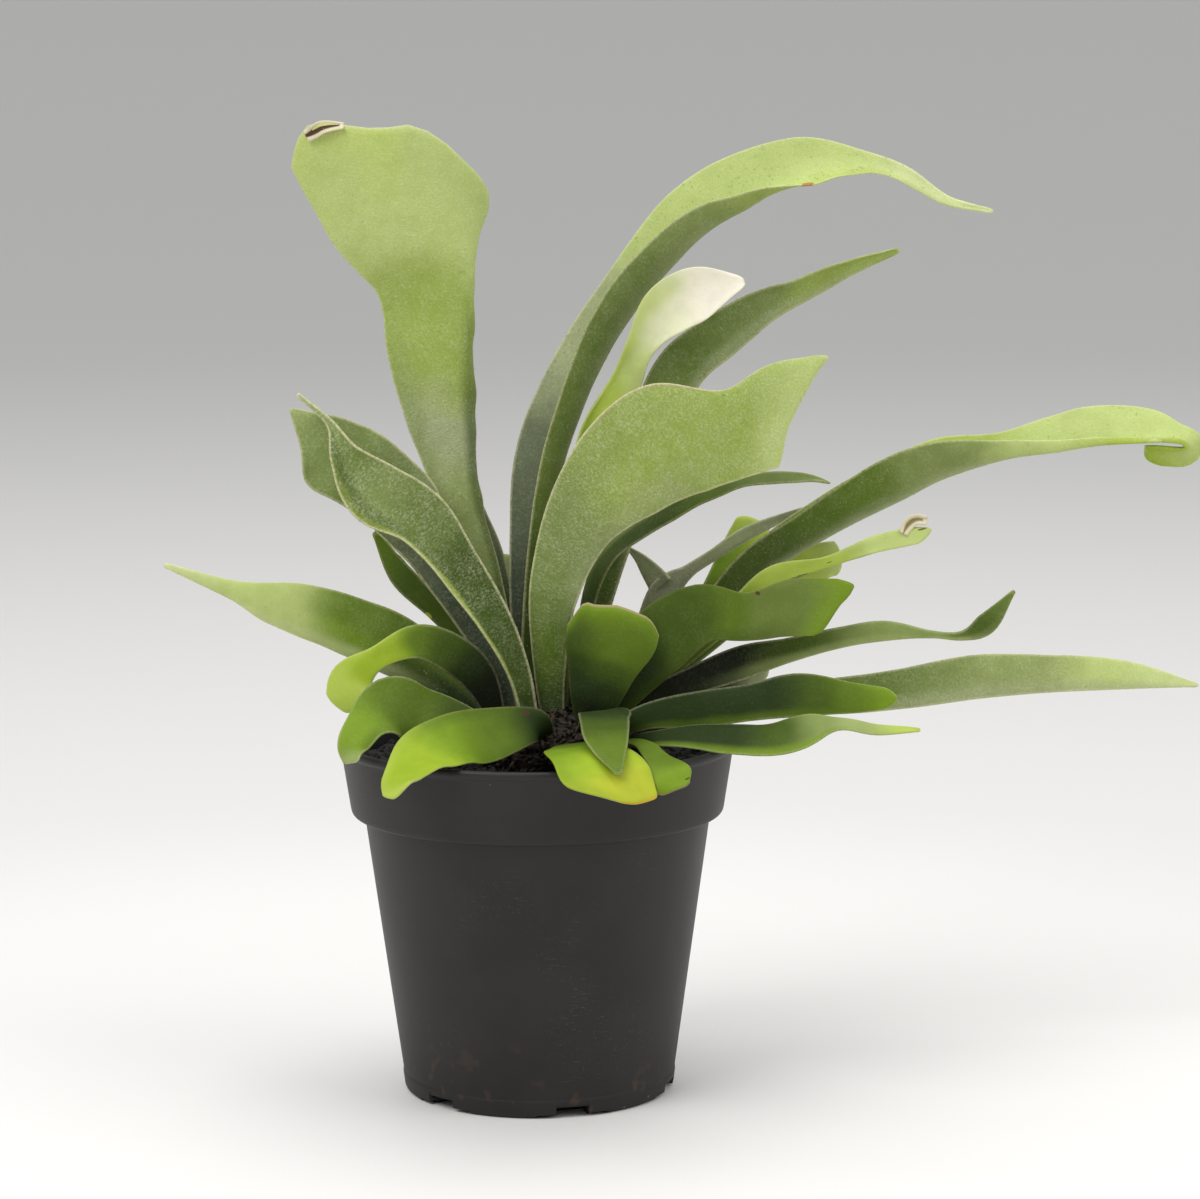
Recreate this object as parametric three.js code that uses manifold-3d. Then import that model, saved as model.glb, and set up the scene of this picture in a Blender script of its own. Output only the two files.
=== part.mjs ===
// Potted staghorn fern: a young plant of thirty or so felted fronds in a black nursery pot.
// Millimetres, +Z up, origin at the middle of the pot's foot, the front of the plant towards -Y.
import * as THREE from 'three';
import { mergeVertices } from 'three/addons/utils/BufferGeometryUtils.js';
import Module from 'manifold-3d';

const wasm = await Module();
wasm.setup();

// Pot
const POT_HEIGHT = 95;
const RIM_RADIUS = 53;
const BAND_HEIGHT = 20;          // the upright band under the rim
const BAND_FOOT_RADIUS = 49.8;
const SHOULDER_RADIUS = 46.2;    // top of the tapering side, under the band
const BASE_RADIUS = 36.2;
const FOOT_LINE = 5;             // height of the fine moulded line above the foot
const WALL = 1.3;
const FLOOR = 2.2;
const POT_SIDES = 48;
const LIP = { outside: 0.5, top: 1.6, inside: 2.1, drop: 0.6 };   // rounding of the rim's top
const DRAIN_SLOTS = 6;
const FIRST_SLOT = -75;          // degrees round from +X, seen from above
const SLOT = { width: 9, height: 3, depth: 10 };
const RECESS = { width: 19, height: 0.9, depth: 5 };

// Potting mix and crown
const GAP = 0.3;                 // clearance between neighbouring pieces
const SOIL_LEVEL = 88;
const SOIL_ROUGHNESS = 0.8;
const SOIL_RINGS = [48, 42, 35, 28, 21, 14, 7, 0];   // radii of the rings of points on top
const SOIL_SIDES = 36;
const CROWN = { x: 6, y: 0, z: 92, across: 22, deep: 18, high: 9.5 };
const CROWN_FACETS = { round: 24, rise: 14 };
const CROWN_LUMPS = 0.025;       // share of the radius
const SOCKET_LENGTH = 12;        // how far a socket in the crown follows its frond

// Fronds
const BLADE = 0.9;               // thickness of a blade
const STIPE = 1.7;               // thickness where a frond leaves the crown
const STIPE_LENGTH = 0.25;       // share of the length over which it thins
const COLUMNS = 4;
const LOBE_ROWS = 6;
const SOCKET_ROWS = 3;
const ROW_LENGTH = 7;            // about one row of facets each 7 mm of rib

// Each frond has a rib from crown to tip, and the widths of the blade on both sides of it.
// A turn is the direction in which a side leaves the rib, in degrees: looking at the face
// with the tip upwards, 0 is straight to the right, 180 to the left, 90 towards the viewer.
// The lists are spread evenly over the length and joined by smooth curves.
// tip is the share of the length that the blade reaches, from its left to its right edge.
const FRONDS = [
  {
    "name": "frond_tall_fan", "tint": "felt",
    "rib": [[-5, 8, 97.5], [-8.7, 10, 119], [-14, 12, 140.5], [-19.5, 13, 158.5], [-21.8, 15, 176.5],
      [-23, 16, 196], [-23, 16, 216], [-29, 13, 237], [-34.5, 8, 264.3]],
    "left": [2.2, 2.8, 4.8, 7.4, 12.8, 17.4, 21.5, 30.3, 38], "leftTurn": [190, 195, 195],
    "right": [2.2, 2.6, 3.6, 4.8, 6.6, 7.6, 7.9, 20.5, 25], "rightTurn": [-10, -25, -35, -30, -5],
    "tip": [0.966, 0.988, 0.977, 0.967, 0.966, 0.947, 0.914, 0.883, 0.852], "ripple": [1.2, 1.5, 0.1],
    "lobe": {
      "rib": [[-60.1, 14.9, 253.8], [-56, 13.5, 256.3], [-50.1, 12.1, 256.7]],
      "left": [1.6, 1.6, 0.6], "leftTurn": [170],
      "right": [1.8, 2.6, 1.6], "rightTurn": [40, 60]
    }
  },
  {
    "name": "frond_tall_arch", "tint": "felt",
    "rib": [[0.5, 3, 98], [-0.5, 4, 119], [2.8, 7.5, 145.8], [7.4, 12, 168.8], [15.5, 14, 189.2],
      [27.1, 15, 208.2], [42.8, 15, 226], [56.6, 14, 235.7], [71.6, 12, 244.5], [86.2, 10, 246.3],
      [97.5, 8, 243], [108.5, 6, 236.5], [120.4, 4, 233.6]],
    "left": [2.2, 6, 10.3, 13.6, 13.3, 12.6, 14.7, 14.4, 9.2, 3.4, 2.4, 1.3, 0.5],
    "leftTurn": [185, 195, 205, 205, 200, 190, 185],
    "right": [2.2, 4.5, 6.4, 7.4, 9.4, 12.2, 10.1, 6.2, 7, 3.4, 2.2, 1.3, 0.5],
    "rightTurn": [150, 140, 140, 140, 140, 140, 140, 125, 55, 40, 30, 20, 0]
  },
  {
    "name": "frond_young_cream", "tint": "cream",
    "rib": [[6.5, 2.5, 98], [7.5, 5, 120], [9, 6, 145], [11, 6, 165], [15, 5, 179], [22.5, 4, 189],
      [29, 3, 198.5], [36, 2, 207], [45, 1, 212.8], [55, 0, 215.8]],
    "left": [1.6, 1.8, 2, 2, 1.9, 2.6, 5.3, 8.7, 7.6, 1.2], "leftTurn": [170],
    "right": [1.6, 1.8, 2, 2, 2.6, 5.2, 2.8, 5.5, 5.7, 1.4], "rightTurn": [20, 10]
  },
  {
    "name": "frond_back_slim", "tint": "felt",
    "rib": [[10.5, 9, 97], [15.5, 14.5, 123], [22, 20, 147.5], [29.2, 25, 169.4], [38.5, 29, 189],
      [48.9, 32, 199.7], [61.4, 34, 207.8], [72.4, 35, 211.9], [83.1, 35, 217], [98.3, 34, 222.2]],
    "left": [2, 3, 4.5, 6, 7.3, 5.6, 3.8, 2.9, 2, 0.7], "leftTurn": [170],
    "right": [2, 3, 4.5, 6, 6.2, 7.2, 5.6, 3.6, 2.9, 0.7], "rightTurn": [10]
  },
  {
    "name": "frond_broad_front", "tint": "felt",
    "rib": [[4.5, -2, 97], [4, -3, 113], [5, -5, 133.5], [12.5, -7, 152.5], [24, -8, 165.8],
      [36.8, -9, 174.9], [50.7, -9, 180.8], [64.6, -8, 185.8], [80.1, -7, 191.2]],
    "left": [2.6, 4.7, 6.8, 10.9, 15.7, 16.4, 7.4, 9.2, 6.5], "leftTurn": [185],
    "right": [2.6, 3.6, 6, 8.5, 13, 15.5, 16.5, 17, 17], "rightTurn": [-5],
    "tip": [0.998, 0.993, 0.978, 0.955, 0.932, 0.903, 0.87, 0.849, 0.839], "ripple": [0.8, 1.5, 0]
  },
  {
    "name": "frond_edge_on", "tint": "dark",
    "rib": [[11, 2.5, 97.5], [11.5, 4, 112], [13, 4, 126], [17, 4, 139.5], [26, 4, 149], [36, 4, 155],
      [47, 3, 160.5], [58, 2, 163.6], [69, 1, 164.1], [77.8, 0, 162.5]],
    "left": [1.8, 2.4, 3, 4, 4.6, 4, 3.2, 2.6, 2, 0.6], "leftTurn": [235, 245],
    "right": [1.8, 2.4, 3, 4, 5, 5, 5, 4, 3, 0.6], "rightTurn": [60, 75]
  },
  {
    "name": "frond_left_front", "tint": "felt",
    "rib": [[-1.5, -4, 98], [-4.5, -6, 112.5], [-10.5, -9, 127], [-19.5, -11, 141.5], [-30.5, -12, 153],
      [-40.5, -12, 162], [-48, -11, 172], [-53.5, -9, 180], [-62, -7, 187.3]],
    "left": [2.2, 3, 4.7, 5.8, 5.6, 9.4, 6.1, 1.2, 0.5], "leftTurn": [160],
    "right": [2.2, 3, 4.5, 5.7, 9.6, 8.3, 2.6, 1, 0.5], "rightTurn": [5]
  },
  {
    "name": "frond_left_behind", "tint": "felt",
    "rib": [[-6, 0.5, 97.5], [-10.5, 0, 112], [-18, -1, 125.5], [-27.2, -2, 139.3], [-37.8, -2, 152.3],
      [-46, -2, 164.1], [-53.5, -2, 171.5], [-59.5, -2, 177.1], [-64.1, -2, 182.9]],
    "left": [2, 2.6, 3, 3.3, 4.1, 8.7, 10.5, 3.7, 0.5], "leftTurn": [165],
    "right": [2, 3, 4.5, 8, 15, 13.1, 10.1, 6.4, 0.5], "rightTurn": [0]
  },
  {
    "name": "frond_left_dark", "tint": "dark",
    "rib": [[-7.5, 5, 97], [-12, 7, 108], [-18, 9, 117.5], [-26, 10, 127], [-35, 11, 138],
      [-43.5, 11, 148.5]],
    "left": [1.6, 2, 2.4, 3, 4.9, 0.6], "leftTurn": [175],
    "right": [1.6, 2, 2, 2.7, 1.3, 0.7], "rightTurn": [5]
  },
  {
    "name": "frond_left_long", "tint": "felt",
    "rib": [[-11, 3, 95.5], [-22, 8, 106], [-37, 12, 114], [-51, 15, 119.5], [-66.5, 16, 125],
      [-81.5, 16, 131], [-100.3, 15, 139.5]],
    "left": [2, 4, 6.5, 6.5, 5.5, 2.2, 0.5], "leftTurn": [210, 215],
    "right": [2, 6, 10.5, 11, 9.5, 4, 0.5], "rightTurn": [-10]
  },
  {
    "name": "frond_left_curl", "tint": "fresh",
    "rib": [[-9.5, -2.5, 97], [-15.3, -6, 111], [-22.5, -9, 118.5], [-31.5, -12, 122.3],
      [-41.8, -15, 118.4], [-48.2, -17, 112.8], [-49.5, -18, 104.7]],
    "left": [1.8, 4, 4.5, 4.2, 3, 5.5, 5], "leftTurn": [170],
    "right": [1.8, 5, 5.5, 4.6, 3.2, 5.8, 5], "rightTurn": [-5],
    "tip": [0.94, 1, 0.94]
  },
  {
    "name": "frond_left_ruffled", "tint": "fresh",
    "rib": [[-8, -7.5, 96], [-21.3, -14, 103.6], [-30, -20, 105.5], [-37.5, -26, 106.5],
      [-43.1, -31, 104.3], [-46.8, -36, 99.3], [-47.2, -38, 95]],
    "left": [1.8, 3.6, 7, 8.5, 6, 4, 2.6], "leftTurn": [150],
    "right": [1.8, 3.8, 7.5, 9, 6, 4, 2.6], "rightTurn": [-30], "ripple": [1, 2.5, 0.2]
  },
  {
    "name": "frond_front_droop", "tint": "fresh",
    "rib": [[2.5, -11.5, 95.3], [0, -20, 101.6], [-11.5, -30, 101.2], [-21, -39.5, 100.5],
      [-28.5, -48, 98.2], [-33.5, -55.5, 93.5], [-35.1, -60, 90]],
    "left": [2, 4.5, 7.5, 8.2, 8.4, 6, 3], "leftTurn": [145, 145, 122, 122],
    "right": [2, 4.5, 7.5, 8.4, 8.6, 6, 3], "rightTurn": [-30, -35, -50, -55],
    "tip": [0.95, 1, 0.95]
  },
  {
    "name": "frond_front_yellow", "tint": "yellow",
    "face": [0, 0, 1],
    "rib": [[7.5, -12.5, 93.5], [10, -24, 97], [13.5, -36, 98.8], [18.5, -46.5, 99.2], [24, -54.5, 94.8],
      [28.6, -59, 88.8]],
    "left": [2, 5, 7.8, 5, 6, 3.7], "leftTurn": [180, 172, 165, 165],
    "right": [5.5, 5.6, 11.9, 15.7, 17.8, 5.6], "rightTurn": [-5],
    "tip": [1]
  },
  {
    "name": "frond_front_green", "tint": "fresh",
    "face": [0, 0, 1],
    "rib": [[15, -11, 94], [22.5, -22, 97.3], [27.3, -33, 98.5], [30.5, -42.5, 97.4], [33.7, -50, 94.1],
      [35.9, -53, 90.5]],
    "left": [1.8, 3.5, 3, 3.6, 6.4, 4], "leftTurn": [180, 172, 165],
    "right": [1.8, 3, 2.2, 2.8, 4.2, 4.7], "rightTurn": [0, 0, 2, -6, -28]
  },
  {
    "name": "frond_front_pointed", "tint": "dark",
    "face": [0, -0.3, 1],
    "rib": [[10.5, -8.5, 96.5], [16.8, -19, 104.7], [17.8, -32, 104.4], [19, -46.5, 101.5],
      [21.5, -60, 96.1]],
    "left": [1.8, 7, 6.5, 4.8, 0.8], "leftTurn": [180],
    "right": [1.8, 6, 6.2, 5.6, 0.8], "rightTurn": [0]
  },
  {
    "name": "frond_short_upright", "tint": "fresh",
    "rib": [[12, -6, 97], [16, -8.5, 105.5], [19.2, -10, 114], [20.8, -10.5, 122], [21.5, -10.5, 133.5]],
    "left": [1.8, 8, 11.8, 13.1, 12], "leftTurn": [190],
    "right": [1.8, 5.2, 7.2, 11, 12], "rightTurn": [-5],
    "tip": [0.856, 0.961, 0.956, 0.957, 0.959, 0.941, 0.919, 0.891, 0.824]
  },
  {
    "name": "frond_forked", "tint": "fresh",
    "rib": [[16.5, -4, 97], [24, -5, 108], [33, -6, 118.5], [44, -6, 126.5], [56, -5, 128],
      [68, -4, 129.5], [85, -3, 131]],
    "left": [2, 5, 11.1, 10.1, 6.1, 8, 6.2], "leftTurn": [180],
    "right": [2, 4.6, 6.4, 5.5, 6.8, 7.3, 8.4], "rightTurn": [0],
    "tip": [0.986, 0.998, 0.99, 0.978, 0.958, 0.943, 0.929, 0.917, 0.908], "ripple": [0.8, 2, 0.3]
  },
  {
    "name": "frond_right_dark", "tint": "dark",
    "rib": [[21.5, -1.5, 96], [31, -1, 105], [43, 0, 110.3], [55.3, 2, 114.5], [67.5, 3, 117.5],
      [80.8, 4, 120.6], [93, 4, 122.4], [105, 4, 121.4], [113.5, 4, 121], [120, 3, 124.5],
      [127, 2, 133.3]],
    "left": [2, 3, 3.8, 4.4, 3.2, 2.7, 2.6, 1, 1.2, 2.8, 0.4], "leftTurn": [190],
    "right": [2, 3, 3.8, 4.4, 3.2, 2.7, 2.6, 1, 1.2, 2.8, 0.4], "rightTurn": [5]
  },
  {
    "name": "frond_right_pale", "tint": "felt",
    "rib": [[21, 6, 95], [40.2, 10, 101], [60.6, 14, 102.5], [81.1, 17, 102.6], [99.5, 19, 104.3],
      [119, 20, 107.2], [139.3, 20, 108], [159.7, 19, 107.7], [178.7, 17, 105.2]],
    "left": [2, 3, 3.6, 4.8, 5.4, 5.9, 5, 3.8, 0.5], "leftTurn": [195],
    "right": [2, 3, 3.6, 4.8, 5.4, 5.9, 5, 3.8, 0.5], "rightTurn": [10]
  },
  {
    "name": "frond_right_front", "tint": "fresh",
    "rib": [[17.5, -8.5, 96.4], [28.8, -12, 103], [42.5, -15, 105.9], [56.2, -18.5, 108.1],
      [68.8, -21, 110.2], [82.4, -23, 109.3], [94.1, -24, 108.8]],
    "left": [2, 2.6, 3.4, 3.8, 4.8, 3.6, 2.4], "leftTurn": [195],
    "right": [2, 4.2, 6, 5.8, 6.4, 4.4, 2.4], "rightTurn": [10],
    "tip": [0.97, 1, 0.97]
  },
  {
    "name": "frond_right_low", "tint": "fresh",
    "rib": [[20.5, -8, 94], [31, -15.5, 97], [42, -20.5, 98.6], [53, -26, 99], [63, -29.5, 99.6],
      [71, -31, 102.3], [78.5, -32, 103.8], [88, -31, 102], [99.5, -30, 101.5]],
    "left": [1.8, 2.6, 4, 5, 5.4, 5, 2.2, 1.8, 0.5], "leftTurn": [235],
    "right": [1.8, 2.6, 4.4, 5.6, 6, 5, 2.2, 1.8, 0.5], "rightTurn": [55, 50, 40]
  },
  {
    "name": "frond_long_right", "tint": "felt",
    "rib": [[15, 6.5, 97.5], [28, 9, 110], [43, 12, 119.5], [59.2, 16, 133.5], [70.9, 19, 141.7],
      [84.5, 21, 149], [98.1, 22, 155.4], [111.5, 22, 162.1], [125.7, 21, 166.5], [139, 20, 169],
      [151.3, 18, 171.6], [164.5, 16, 172.1], [172.6, 15, 171.8], [173.4, 16, 169.5], [163.3, 17, 170]],
    "left": [2.2, 4, 7, 9, 11, 12.5, 13.5, 12.5, 8, 9.7, 10, 9.2, 5.2, 6, 6.2],
    "leftTurn": [205, 215, 220, 220, 220, 220, 220, 220, 215, 210, 205, 215, 215, 215, 215],
    "right": [2.2, 4, 7, 11.5, 11.4, 13.7, 15.8, 13.1, 6.8, 3.5, 1.2, 0.8, 0.7, 0.7, 0.7],
    "rightTurn": [150, 145, 140]
  },
  {
    "name": "frond_brown_tip", "tint": "lime",
    "rib": [[19, 3, 97], [28, 3, 106], [40, 3, 117], [53, 4, 128], [64, 5, 135.5], [77.5, 7, 140.3],
      [90.9, 8, 144.7], [105.3, 8, 149.2]],
    "left": [1.8, 2.6, 3, 3, 4.5, 1.8, 2.9, 1.5], "leftTurn": [180],
    "right": [1.8, 2.6, 3, 3, 1.2, 1.2, 1.8, 3.2], "rightTurn": [10],
    "tip": [0.96, 1, 0.97],
    "lobe": {
      "rib": [[97.8, 8, 147.9], [99.2, 8.5, 150.5], [101.3, 8.5, 151.8], [104.2, 8, 151.6]],
      "left": [1.2, 1.6, 1.4, 1], "leftTurn": [160],
      "right": [1.2, 1.6, 1.6, 1.4], "rightTurn": [30, 50]
    }
  },
  {
    "name": "frond_back_lime", "tint": "lime",
    "rib": [[11, 12, 97], [27, 18, 106], [40, 25, 114.5], [50, 34, 127], [57.5, 42, 139],
      [63.6, 47, 148.5]],
    "left": [1.8, 3, 4.5, 6, 7, 7.2], "leftTurn": [180],
    "right": [1.8, 3, 4.5, 6, 7, 7.2], "rightTurn": [0],
    "tip": [0.93, 0.95, 0.9]
  },
  {
    "name": "frond_back_right", "tint": "lime",
    "rib": [[17, 11, 96], [31, 17, 106], [46, 23, 118], [62, 28, 130.5], [75.8, 31, 137],
      [83, 32, 138.5]],
    "left": [1.8, 3, 4, 4.6, 5, 4.6], "leftTurn": [180],
    "right": [1.8, 3, 4, 4.6, 5, 4.6], "rightTurn": [0],
    "tip": [0.98, 1, 0.97]
  },
  {
    "name": "frond_back_forked", "tint": "felt",
    "rib": [[6, 12, 97.5], [14, 17, 108], [29.3, 22, 117.4], [34.3, 26, 130], [40.9, 29, 134.8],
      [47.8, 31, 138.9], [57.9, 31, 145.4], [72.3, 30, 152.1]],
    "left": [2, 3, 5, 3.9, 2.1, 2, 2.2, 0.5], "leftTurn": [180],
    "right": [2, 3, 4.4, 5, 1.6, 1.2, 1.5, 0.5], "rightTurn": [0],
    "lobe": {
      "rib": [[34.1, 26, 131.6], [30.5, 27, 135.9], [27.8, 27.5, 139.1], [24.9, 28, 141.7]],
      "left": [3.8, 2.6, 1.5, 0.5], "leftTurn": [180],
      "right": [3, 2.4, 1.4, 0.5], "rightTurn": [0]
    }
  },
  {
    "name": "frond_back_pale", "tint": "lime",
    "rib": [[15.5, 12.5, 94], [28, 20, 101], [41, 25, 105], [53, 28, 107], [63, 29, 108]],
    "left": [1.8, 3, 4, 4.5, 3], "leftTurn": [185],
    "right": [1.8, 3, 4, 4.5, 3], "rightTurn": [0],
    "tip": [0.97, 1, 0.97]
  },
  {
    "name": "frond_back_short", "tint": "lime",
    "rib": [[1, 10.5, 97], [-2, 16, 112], [-6, 22, 126], [-9.3, 30, 140]],
    "left": [1.8, 3, 4.5, 4], "leftTurn": [180],
    "right": [1.8, 2.6, 3.2, 2.6], "rightTurn": [0],
    "tip": [0.97, 1, 0.97]
  },
  {
    "name": "frond_behind_fan", "tint": "dark",
    "rib": [[-3.5, 11, 97.5], [-6.9, 15, 113.2], [-8.8, 19, 129], [-11.4, 21, 142.3], [-15.4, 22, 155]],
    "left": [1.6, 2, 2.4, 2, 0.5], "leftTurn": [180],
    "right": [1.6, 2, 2.2, 1.8, 0.5], "rightTurn": [0]
  }
];

// One value of an evenly spread list of numbers or points, on a smooth curve through it.
function smooth(list, at) {
  const rows = list.map((row) => (Array.isArray(row) ? row : [row]));
  const last = rows.length - 1;
  if (last === 0) return rows[0];
  const x = Math.min(Math.max(at, 0), 1) * last;
  const i = Math.min(Math.floor(x), last - 1);
  const f = x - i;
  const beyond = (end, inner) => end.map((value, k) => 2 * value - inner[k]);
  const a = i === 0 ? beyond(rows[0], rows[1]) : rows[i - 1];
  const b = rows[i];
  const c = rows[i + 1];
  const d = i + 2 > last ? beyond(rows[last], rows[last - 1]) : rows[i + 2];
  return b.map((_, k) => 0.5 * (2 * b[k] + (c[k] - a[k]) * f
    + (2 * a[k] - 5 * b[k] + 4 * c[k] - d[k]) * f * f
    + (3 * b[k] - a[k] - 3 * c[k] + d[k]) * f * f * f));
}

const vector = (values) => new THREE.Vector3(...values);

// Middle surface of a blade: along runs 0 to 1 from crown to tip, across -1 to 1, left to right.
function bladePoint(frond, along, across, grow = 0) {
  const reach = smooth(frond.tip ?? [1], (across + 1) / 2)[0];
  const u = along - (1 - reach) * along * along;
  const point = vector(smooth(frond.rib, u));
  const step = 0.001;
  const ahead = vector(smooth(frond.rib, Math.min(u + step, 1)));
  const tangent = ahead.sub(vector(smooth(frond.rib, Math.max(u - step, 0)))).normalize();
  const face = vector(frond.face ?? [0, -1, 0]);
  const towards = face.addScaledVector(tangent, -face.dot(tangent)).normalize();
  const rightwards = tangent.clone().cross(towards);
  const side = (widths, turns) => {
    const width = Math.max(smooth(widths, u)[0], 0.3) + grow;
    const turn = THREE.MathUtils.degToRad(smooth(turns, u)[0]);
    return rightwards.clone().multiplyScalar(width * Math.cos(turn))
      .addScaledVector(towards, width * Math.sin(turn));
  };
  const left = side(frond.left, frond.leftTurn);
  const right = side(frond.right, frond.rightTurn);
  point.addScaledVector(right.clone().sub(left), across / 2);
  point.addScaledVector(right.clone().add(left), across * across / 2);
  if (frond.ripple) {
    const [size, count, start] = frond.ripple;
    const wave = Math.sin(2 * Math.PI * (count * u + start)) * Math.min(1, 4 * u);
    const normal = right.clone().sub(left).cross(tangent).normalize();
    point.addScaledVector(normal, size * wave * Math.sign(across) * Math.abs(across) ** 1.5);
  }
  return point;
}

// Unit normal of the middle surface, on the side of the upper face.
function bladeNormal(frond, along, across, grow) {
  const step = 0.01;
  const ends = (low, high) => [Math.max(low, high - 2 * step), Math.min(high, low + 2 * step)];
  const [u0, u1] = ends(Math.max(along - step, 0), Math.min(along + step, 1));
  const [v0, v1] = ends(Math.max(across - step, -1), Math.min(across + step, 1));
  const forward = bladePoint(frond, u1, across, grow).sub(bladePoint(frond, u0, across, grow));
  const sideways = bladePoint(frond, along, v1, grow).sub(bladePoint(frond, along, v0, grow));
  return sideways.cross(forward).normalize();
}

// Thickness falls from that of the stipe to that of the blade.
function bladeThickness(along) {
  const stipe = Math.max(0, 1 - along / STIPE_LENGTH);
  return BLADE + (STIPE - BLADE) * stipe * stipe;
}

// A closed blade: two faces split into triangles alike, joined round the edge.
function bladeGeometry(frond, { grow = 0, to = 1, rows } = {}) {
  const back = vector(frond.rib[0]).sub(vector(smooth(frond.rib, 0.02))).setLength(grow);
  const positions = [];
  const faces = [];
  const id = (face, row, column) => (face * (rows + 1) + row) * (COLUMNS + 1) + column;
  for (const sign of [1, -1]) {
    for (let row = 0; row <= rows; row += 1) {
      for (let column = 0; column <= COLUMNS; column += 1) {
        const along = to * row / rows;
        const across = -1 + 2 * column / COLUMNS;
        const normal = bladeNormal(frond, along, across, grow);
        const point = bladePoint(frond, along, across, grow);
        point.addScaledVector(normal, sign * (bladeThickness(along) / 2 + grow));
        if (row === 0) point.add(back);
        positions.push(point.x, point.y, point.z);
      }
    }
  }
  const quad = (a, b, c, d) => faces.push(a, b, c, a, c, d);
  for (let row = 0; row < rows; row += 1) {
    for (let column = 0; column < COLUMNS; column += 1) {
      const corners = [[row, column], [row, column + 1], [row + 1, column + 1], [row + 1, column]];
      const [a, b, c, d] = corners.map(([r, k]) => id(0, r, k));
      quad(a, b, c, d);
      const [e, f, g, h] = corners.map(([r, k]) => id(1, r, k));
      faces.push(e, g, f, e, h, g);
    }
    quad(id(0, row + 1, 0), id(1, row + 1, 0), id(1, row, 0), id(0, row, 0));
    quad(id(0, row, COLUMNS), id(1, row, COLUMNS), id(1, row + 1, COLUMNS), id(0, row + 1, COLUMNS));
  }
  for (let column = 0; column < COLUMNS; column += 1) {
    quad(id(0, 0, column + 1), id(0, 0, column), id(1, 0, column), id(1, 0, column + 1));
    quad(id(0, rows, column), id(0, rows, column + 1), id(1, rows, column + 1), id(1, rows, column));
  }
  const geometry = new THREE.BufferGeometry();
  geometry.setAttribute('position', new THREE.Float32BufferAttribute(positions, 3));
  geometry.setIndex(faces);
  return geometry;
}

// Closed mesh to solid and back, for the joins and cuts.
function toSolid(geometry) {
  const bare = geometry.clone();
  for (const name of ['normal', 'uv']) bare.deleteAttribute(name);
  const merged = mergeVertices(bare, 1e-4);
  const triVerts = Uint32Array.from(merged.index.array);
  const vertProperties = Float32Array.from(merged.attributes.position.array);
  return new wasm.Manifold(new wasm.Mesh({ numProp: 3, vertProperties, triVerts }));
}

function toGeometry(solid) {
  const mesh = solid.getMesh();
  const geometry = new THREE.BufferGeometry();
  geometry.setAttribute('position', new THREE.BufferAttribute(mesh.vertProperties, 3));
  geometry.setIndex(new THREE.BufferAttribute(mesh.triVerts, 1));
  return geometry;
}

function ribLength(rib) {
  let length = 0;
  for (let i = 1; i < rib.length; i += 1) length += vector(rib[i]).distanceTo(vector(rib[i - 1]));
  return length;
}

function frondGeometry(frond) {
  const rows = Math.max(8, Math.round(ribLength(frond.rib) / ROW_LENGTH));
  const geometry = bladeGeometry(frond, { rows });
  if (!frond.lobe) return geometry;
  const lobe = bladeGeometry(frond.lobe, { rows: LOBE_ROWS });
  return toGeometry(toSolid(geometry).add(toSolid(lobe)));
}

function socketSolid(frond) {
  const to = SOCKET_LENGTH / ribLength(frond.rib);
  return toSolid(bladeGeometry(frond, { grow: GAP, to, rows: SOCKET_ROWS }));
}

// Solids of revolution about the pot's axis
function turned(profile, sides = POT_SIDES) {
  const points = profile.map(([radius, height]) => new THREE.Vector2(radius, height));
  return new THREE.LatheGeometry(points, sides).rotateX(Math.PI / 2);
}

function boxAt(angle, inner, width, height, depth) {
  const box = new THREE.BoxGeometry(depth, width, 2 * height);
  return box.translate(inner + depth / 2, 0, 0).rotateZ(THREE.MathUtils.degToRad(angle));
}

const BAND_FOOT = POT_HEIGHT - BAND_HEIGHT;
const INNER = {
  lip: RIM_RADIUS - LIP.inside,
  band: BAND_FOOT_RADIUS - WALL,
  shoulder: SHOULDER_RADIUS - WALL,
  base: BASE_RADIUS - WALL - 0.3,
};

function potGeometry() {
  const pot = turned([
    [0, 0], [BASE_RADIUS - 0.8, 0], [BASE_RADIUS, 0.8], [BASE_RADIUS + 0.5, FOOT_LINE - 0.4],
    [BASE_RADIUS + 0.3, FOOT_LINE], [SHOULDER_RADIUS, BAND_FOOT], [BAND_FOOT_RADIUS - 1.2, BAND_FOOT],
    [BAND_FOOT_RADIUS - 0.3, BAND_FOOT + 0.5], [BAND_FOOT_RADIUS, BAND_FOOT + 1.5],
    [RIM_RADIUS - 0.7, POT_HEIGHT - 2.4], [RIM_RADIUS, POT_HEIGHT - 1.8],
    [RIM_RADIUS, POT_HEIGHT - LIP.outside],
    [RIM_RADIUS - LIP.outside, POT_HEIGHT], [RIM_RADIUS - LIP.top, POT_HEIGHT],
    [INNER.lip, POT_HEIGHT - LIP.drop],
    [INNER.band, BAND_FOOT + 2], [INNER.shoulder, BAND_FOOT + 0.6], [INNER.base, FLOOR + 0.8],
    [INNER.base - 0.8, FLOOR], [0, FLOOR],
  ]);
  let solid = toSolid(pot);
  for (let i = 0; i < DRAIN_SLOTS; i += 1) {
    const angle = FIRST_SLOT + i * 360 / DRAIN_SLOTS;
    for (const { width, height, depth } of [SLOT, RECESS]) {
      const inner = BASE_RADIUS + 2 - depth;
      solid = solid.subtract(toSolid(boxAt(angle, inner, width, height, depth)));
    }
  }
  return toGeometry(solid);
}

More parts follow.
